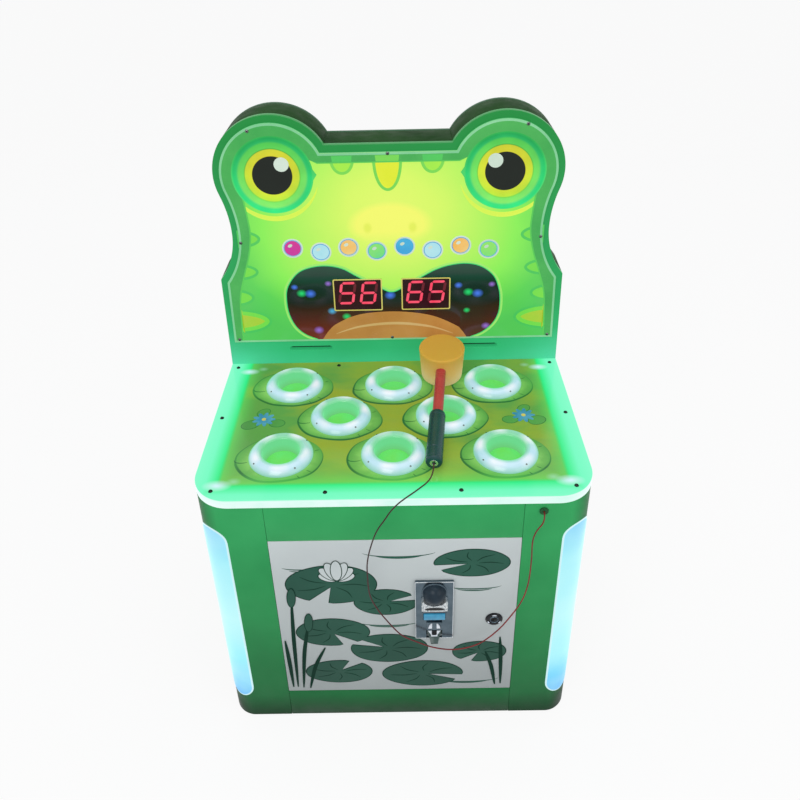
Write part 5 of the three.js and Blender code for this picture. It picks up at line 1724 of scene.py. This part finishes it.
    def hood(self) -> None:
        """The hood over the return recess: a lever between two facets painted white as reflections."""
        x, front, low, high = UNIT_X, UNIT_FRONT - 3, self.chute_top, self.chute_top + 19
        holes, facets = [], []
        for s, _ in SIDES:
            near, far = x + s * self.lever, x + s * (self.chute - 2.5)
            holes.append(rounded_box(min(near, far), max(near, far), low + 2.5, high - 2.5, 0.4))
            wedge = [(near, low + 3), (x + s * 10.4, low + 3), (x + s * 8.6, low + 9), (near, high - 3)]
            facets += [self.flat(holes[-1], "dark_chrome", front + 3.4, front + 4),
                       self.flat(wedge, "glint_white", front + 0.6, front + 3.3, (), 0.3)]
        outline = rounded_box(x - self.chute, x + self.chute, low, high, 1)
        hood = self.flat(outline, "dark_chrome", front, UNIT_FRONT, holes, 0.4)
        keep(joined([hood, *facets]), "return_hood_and_facets", "chrome")

    def flap(self) -> None:
        """The return flap: plate and rib on a pin, with corners and a crossbar painted white as reflections,
        and a bent-out lip.
        """
        x, pin, foot = UNIT_X, self.pin_z, self.pin_z - 18
        front, back = -3.2, -1.4
        wings = [(-12, pin + 1.2), (12, pin + 1.2), (12, pin - 10), (9.25, foot), (-9.25, foot),
                 (-12, pin - 10)]
        rib = rounded_box(x - self.lever, x + self.lever, foot + 3, pin - 3, 0.4)
        bar = rounded_box(x - 5.4, x + 5.4, foot + 1.6, foot + 4.4, 0.6)
        parts = [self.flat([(x + u, v) for u, v in wings], "flap_grey", front, back, (), 0.3),
                 self.flat(rib, "black_gloss", front - 2, front, (), 0.4),
                 self.flat(bar, "glint_white", front - 2.6, front - 0.1, (), 0.3)]
        # Painted reflections at the flap's corners and top.
        for s, _ in SIDES:
            wedge = ((4.4, pin - 4.2), (10.6, pin - 4.2), (4.4, foot + 2))
            rail = ((4.2, pin - 1.6), (11.2, pin - 1.6), (10.4, pin + 0.2), (4.2, pin + 0.2))
            for shape in (wedge, rail):
                side = [(x + s * u, v) for u, v in shape]
                parts.append(self.flat(side, "glint_white", front - 0.9, front - 0.1, (), 0.2))
        rod = [(0, -12.9), (1.6, -12.9), (1.6, 12.9), (0, 12.9)]
        parts.append(self.spun(rod, at(x, -2.3, pin), "chrome", 24, Axis.RIGHT))
        section = ((back, foot, 9.25), (back, foot + 1.8, 9.6), (-13.2, foot - 6.2, 6), (-13.2, foot - 8, 6))
        corners = [at(x + s * half, y, z) for y, z, half in section for s, _ in SIDES]
        faces = [(0, 1, 3, 2), (2, 3, 5, 4), (4, 5, 7, 6), (6, 7, 1, 0), (0, 2, 4, 6), (1, 7, 5, 3)]
        parts.append(self.dress(soften(from_faces(corners, faces), 0.3), "flap_grey"))
        self.skin("coin_return_flap", joined(parts), name="return_flap")

    def lock(self) -> None:
        """The cam lock: a dark face with painted highlights at its edge, an inner ring and key slot, barrel
        and cam.
        """
        x, z, place = LOCK_X, LOCK_Z, at(LOCK_X, 0, LOCK_Z)
        face = [(0, 2.4), (8.6, 2.4), (9.2, 3.0), (12.4, 3.0), (14.5, 1.2), (14.5, 0.3), (9.4, 0.3),
                (9.4, -15.3), (0, -15.3)]
        cam = [(x, z - 8), *arc(x + 38, z, 8, -90, 90, 14), (x, z + 8)]
        parts = [self.spun(face, place, "black_gloss", 72),
                 self.spun([(6.0, 2.3), (6.4, 2.9), (7.2, 2.9), (7.6, 2.3)], place, "dark_chrome", 56),
                 self.spun([(0, 2.7), (5.4, 2.7), (5.8, 2.3)], place, "black_gloss", 48),
                 # The key slot, a dark plate of painted shade.
                 self.flat(centred_box(x, z, 0.8, 4.5, 0.7), "print_black", -2.9, -2.6),
                 self.flat(cam, "brushed", 15.3, 17.3, (), 0.3)]
        # Painted highlights along the lock's edge.
        for start, end in ((66, 112), (196, 226), (310, 344)):
            shine = stroke(arc(x, z, 11, start, end, 10), 2.6, 0.9)
            parts.append(self.flat(shine, "glint_white", -3.1, -2.9))
        self.skin("door_lock", joined(parts))


@dataclass
class Electronics(Group):
    """The pieces inside the cabinet and at its back."""

    def build(self) -> None:
        """Gives the CAD nodes their finishes."""
        finishes = {"main_board": "board_green", "power_supply": "sheet_metal", "cord_grommet": "side_green",
                    "power_inlet": "black_plastic", "power_switch": "black_gloss"}
        for node, finish in finishes.items():
            self.coat(finish, node)


@dataclass
class Mallet(Group):
    """The soft mallet that lies on the deck."""

    x: float = 88.9
    y: float = 302.1
    turn: float = 5.7
    bottom_radius: float = 37.0
    top_radius: float = 41.0
    height: float = 62.0
    edge: float = 3.0
    axis_height: float = 37.0
    handle_radius: float = 9.0
    length: float = 257.0
    grip_radius: float = 13.5
    grip_length: float = 110.0

    def frame(self) -> Matrix:
        """The mallet's own frame: its head's foot at the origin, the handle along -y.

        Returns:
            The move from that frame to the deck.
        """
        c, s = polar(self.turn)
        to_x, to_y = 90 - self.x, 184.2 - self.y
        along, aside = -to_x * s - to_y * c, to_x * c - to_y * s
        foot = self.bottom_radius - self.edge
        run = along + math.sqrt(RING_CREST**2 - aside**2) - foot
        rise = self.axis_height - self.grip_radius
        lean = math.acos(RING_HEIGHT / math.hypot(rise, run)) - math.atan2(run, rise)
        place = at(self.x, self.y, DECK_TOP + GAP + foot * math.sin(lean))
        turn = Matrix.Rotation(-math.radians(self.turn), 4, "Z")
        return Matrix.Translation(place) @ turn @ Matrix.Rotation(lean, 4, "X")

    def set_down(self, obj: Object) -> Object:
        """Carries a piece from the mallet's own frame to the deck and gives it back."""
        obj.data.transform(self.frame())
        return obj

    def build(self) -> None:
        """Makes head, handle and grip."""
        slope = (self.top_radius - self.bottom_radius) / self.height
        e = self.edge
        profile = [(0.0, 0.0), *arc(self.bottom_radius - e, e, e, -90, 0, 6)]
        for z in [e + (self.height - 2 * e) * k / 12 for k in range(1, 12)]:
            profile.append((self.bottom_radius + slope * z, z))
        profile += arc(self.top_radius - e, self.height - e, e, 0, 90, 6)
        profile += [(self.top_radius - 9, self.height - 0.7), (0.0, self.height - 0.9)]
        self.skin("mallet_head", self.set_down(turned(profile, Vector(), Axis.UP, 96)), "foam_amber")

        r, g, end = self.handle_radius, self.grip_radius, self.length
        start = end - self.grip_length
        middle = Vector((0, 0, self.axis_height * MM))
        bar = [(0, -18.0), (r, -18.0), (r, 60.0), (r + 0.25, 61.0), (r + 0.25, 63.0), (r, 64.0),
               (r, start + 12), (0, start + 12)]
        self.skin("mallet_handle", self.set_down(turned(bar, middle, Axis.FRONT, 40)), "handle_red")
        grip = [(r + 0.3, start), (g - 2.4, start), (g - 0.8, start + 1.2), (g, start + 4)]
        for groove in (start + 9, end - 27):
            grip += [(g, groove), (g - 0.6, groove + 0.8), (g - 0.6, groove + 2.2), (g, groove + 3.0)]
        grip += [(g, end - 9), (g - 0.4, end - 8.4), (g - 0.4, end - 5), (g, end - 4.4), (g, end - 3.6),
                 (g - 1.2, end - 1.2), (g - 4, end), (4.2, end), (3.0, end - 1.0), (0, end - 1.0)]
        eye = [(3.0, -0.9), (6.6, -0.9), (6.9, -0.3), (6.4, 0.2), (3.4, 0.2), (3.0, -0.9)]
        parts = [self.spun(grip, middle, "grip_dark", 48),
                 self.spun([(u, end + v) for u, v in eye], middle, "chrome", 40)]
        self.skin("mallet_grip", self.set_down(joined(parts)), name="mallet_grip_and_ring")


CORD_ROUTE: tuple[Point3, ...] = (
    (63.1, 43.6, 566.5), (62.5, 37.6, 565.7), (61.2, 30.8, 561.8), (57.6, 23.8, 556.2), (51.4, 17, 552.3),
    (43, 8.6, 551.7), (31, -3.2, 551.7), (18, -14.5, 551), (7, -22.4, 547.6), (-3.4, -26.8, 538.2),
    (-13, -28.6, 522.5), (-25.6, -28.8, 499.5), (-37, -27.6, 461.5), (-42.8, -26, 428.5), (-43.8, -25, 406.5),
    (-41.4, -23.6, 350.3), (-30.8, -22.6, 317.5), (-21.2, -21.8, 296.8), (4.8, -20.6, 252.3),
    (16.4, -20.4, 241.5), (38, -20, 227.4), (58.4, -19.6, 215.9), (89, -18.6, 207.3), (114.8, -17.4, 209),
    (139.9, -16.2, 219.8), (167.4, -15, 248.7), (187.7, -14, 282.1), (205, -14.2, 322.3),
    (212.4, -14.6, 361.6), (214.2, -15, 413.1), (213.6, -15.4, 462), (218, -15.6, 480.5),
    (225.8, -15.5, 495.4), (227.8, -13.9, 501.4), (229.1, -9.5, 505.8), (229.6, -3.5, 507.4),
    (229.6, -2.6, 507.4),
)


@dataclass
class Cord(Group):
    """The mallet's cord, one length from its grip to the column."""

    radius: float = 1.1
    steps: int = 8

    def line(self) -> list[Vector]:
        """The route as a smooth line of close points.

        Returns:
            The points in metres.
        """
        points = [at(*p) for p in CORD_ROUTE]
        curve = [points[0] * 2 - points[1], *points, points[-1] * 2 - points[-2]]
        out = []
        for i in range(1, len(curve) - 2):
            p = curve[i - 1: i + 3]
            knots = [0.0]
            for a, b in zip(p, p[1:]):
                knots.append(knots[-1] + max((b - a).length, 1e-9) ** 0.5)
            for j in range(self.steps):
                t = knots[1] + (knots[2] - knots[1]) * j / self.steps
                near = p
                for span in (1, 2):
                    near = [near[k].lerp(near[k + 1], (t - knots[k]) / (knots[k + span] - knots[k]))
                            for k in range(4 - span)]
                out.append(near[0].lerp(near[1], (t - knots[1]) / (knots[2] - knots[1])))
        return [*out, points[-1]]

    def build(self) -> None:
        """Makes the cord and says how long it is."""
        line = self.line()
        cord = self.dress(tube(line, self.radius, 16), "cord_jacket")
        cord.name = cord.data.name = "mallet_cord_jacket"
        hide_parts("mallet_cord")
        length = sum((b - a).length for a, b in zip(line, line[1:]))
        tuple(at(66, -15, 300))
        tuple(at(208, -15, 300))
        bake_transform(cord)
        tuple(line[0])
        LOG.info("%s is %.4f m long", cord.name, length)


@dataclass
class Studio(Group):
    """The camera, the floor and the light."""

    focal: float = 755.284
    principal: Point2 = (397.72, 300.36)
    picture: float = 800.0
    eye: Point3 = (21.615, -848.797, 1356.891)
    yaw: float = -0.00947559
    pitch: float = 0.5115390
    roll: float = -0.0230897
    reach: float = 30.0
    shown: float = 0.9
    lamps: tuple[tuple[str, Point3, float, float], ...] = (
        ("key", (-0.9, -2.2, 2.6), 1.6, 24), ("fill", (1.9, -1.6, 1.5), 1.8, 10),
        ("top", (0.1, 0.2, 3.0), 2.2, 12),
    )

    def camera(self) -> None:
        """Places the camera as the photograph was taken."""
        y, p, r = self.yaw, self.pitch, self.roll
        ahead = Vector((math.sin(y) * math.cos(p), math.cos(y) * math.cos(p), -math.sin(p)))
        level = Vector((math.cos(y), -math.sin(y), 0))
        over = level.cross(ahead)
        right = level * math.cos(r) + over * math.sin(r)
        up = over * math.cos(r) - level * math.sin(r)
        data = bpy.data.cameras.new("camera")
        data.sensor_width = 36
        data.lens = self.focal / self.picture * data.sensor_width
        data.shift_x = 0.5 - self.principal[0] / self.picture
        data.shift_y = self.principal[1] / self.picture - 0.5
        data.clip_start = 0.05
        data.clip_end = 50
        camera = bpy.data.objects.new("camera", data)
        turn = Matrix((right, up, -ahead)).transposed().to_4x4()
        camera.matrix_world = Matrix.Translation(at(*self.eye)) @ turn
        bpy.context.scene.collection.objects.link(camera)
        bpy.context.scene.camera = camera

    @staticmethod
    def direct(tree: bpy.types.NodeTree) -> Socket:
        """Tells rays that show the backdrop from those that light the object.

        Args:
            tree: The floor's or the world's node tree.

        Returns:
            1 for a camera, glossy or transmission ray.
        """
        path = tree.nodes.new("ShaderNodeLightPath")
        seen = path.outputs["Is Camera Ray"]
        for key in ("Is Glossy Ray", "Is Transmission Ray"):
            either = tree.nodes.new("ShaderNodeMath")
            either.operation = "MAXIMUM"
            tree.links.new(seen, either.inputs[0])
            tree.links.new(path.outputs[key], either.inputs[1])
            seen = either.outputs[0]
        return seen

    def floor(self) -> None:
        """A wide floor, nearly white to the camera but for the object's shadow."""
        n = Nodes("floor")
        n.finish(n.mix(n.patches(3, 0, 0.4, 2), (248.153,) * 3, (251.607,) * 3), 0.0, (0.7, 0.1))
        glow = n.add("ShaderNodeEmission").outputs[0]
        share = n.times(self.direct(n.tree), self.shown)
        mix = n.add("ShaderNodeMixShader", {0: share, 1: n.shader.outputs[0], 2: glow})
        n.feed(n.out.inputs["Surface"], mix.outputs[0])
        r, z = self.reach, -0.0004
        corners = [Vector(c) for c in ((-r, -r, z), (r, -r, z), (r, r, z), (-r, r, z))]
        floor = from_faces(corners, [(0, 1, 2, 3)])
        floor.name = "floor"
        floor.data.materials.append(n.material)

    def lamp(self, name: str, place: Vector, size: float, power: float) -> None:
        """A square soft lamp that faces the machine's middle.

        Args:
            name: Its name.
            place: Where it hangs, in metres.
            size: Its side in metres.
            power: Its power in watts.
        """
        data = bpy.data.lights.new(name, "AREA")
        data.size = size
        data.energy = power
        lamp = bpy.data.objects.new(name, data)
        turn = (place - Vector((0, 0, 0.5))).to_track_quat("Z", "Y").to_matrix().to_4x4()
        lamp.matrix_world = Matrix.Translation(place) @ turn
        bpy.context.scene.collection.objects.link(lamp)

    def world(self) -> None:
        """Plain white behind the object, a softer grey as its light."""
        world = bpy.data.worlds.new("studio")
        bpy.context.scene.world = world
        world.use_nodes = True
        tree = world.node_tree
        tree.nodes.clear()
        out = tree.nodes.new("ShaderNodeOutputWorld")
        mix = tree.nodes.new("ShaderNodeMixShader")
        tree.links.new(self.direct(tree), mix.inputs[0])
        for slot, colour, strength in ((1, (0.96, 0.98, 1, 1), 0.5), (2, (1, 1, 1, 1), 1.0)):
            sky = tree.nodes.new("ShaderNodeBackground")
            sky.inputs["Color"].default_value = colour
            sky.inputs["Strength"].default_value = strength
            tree.links.new(sky.outputs[0], mix.inputs[slot])
        tree.links.new(mix.outputs[0], out.inputs["Surface"])

    def build(self) -> None:
        """Sets up the shot."""
        self.camera()
        self.floor()
        self.world()
        for name, place, size, power in self.lamps:
            self.lamp(name, Vector(place), size, power)
        bpy.context.scene.view_settings.view_transform = "Standard"


def main() -> None:
    """Builds every group in order and logs it."""
    logging.basicConfig(level=logging.INFO, format="%(name)s: %(message)s")
    palette = Palette()
    for group in (Studio, Cord, Cabinet, Deck, Header, CoinDoor, Mallet, Electronics):
        group(palette).build()


if __name__ == "__main__":
    main()
    bpy.context.view_layer.update()
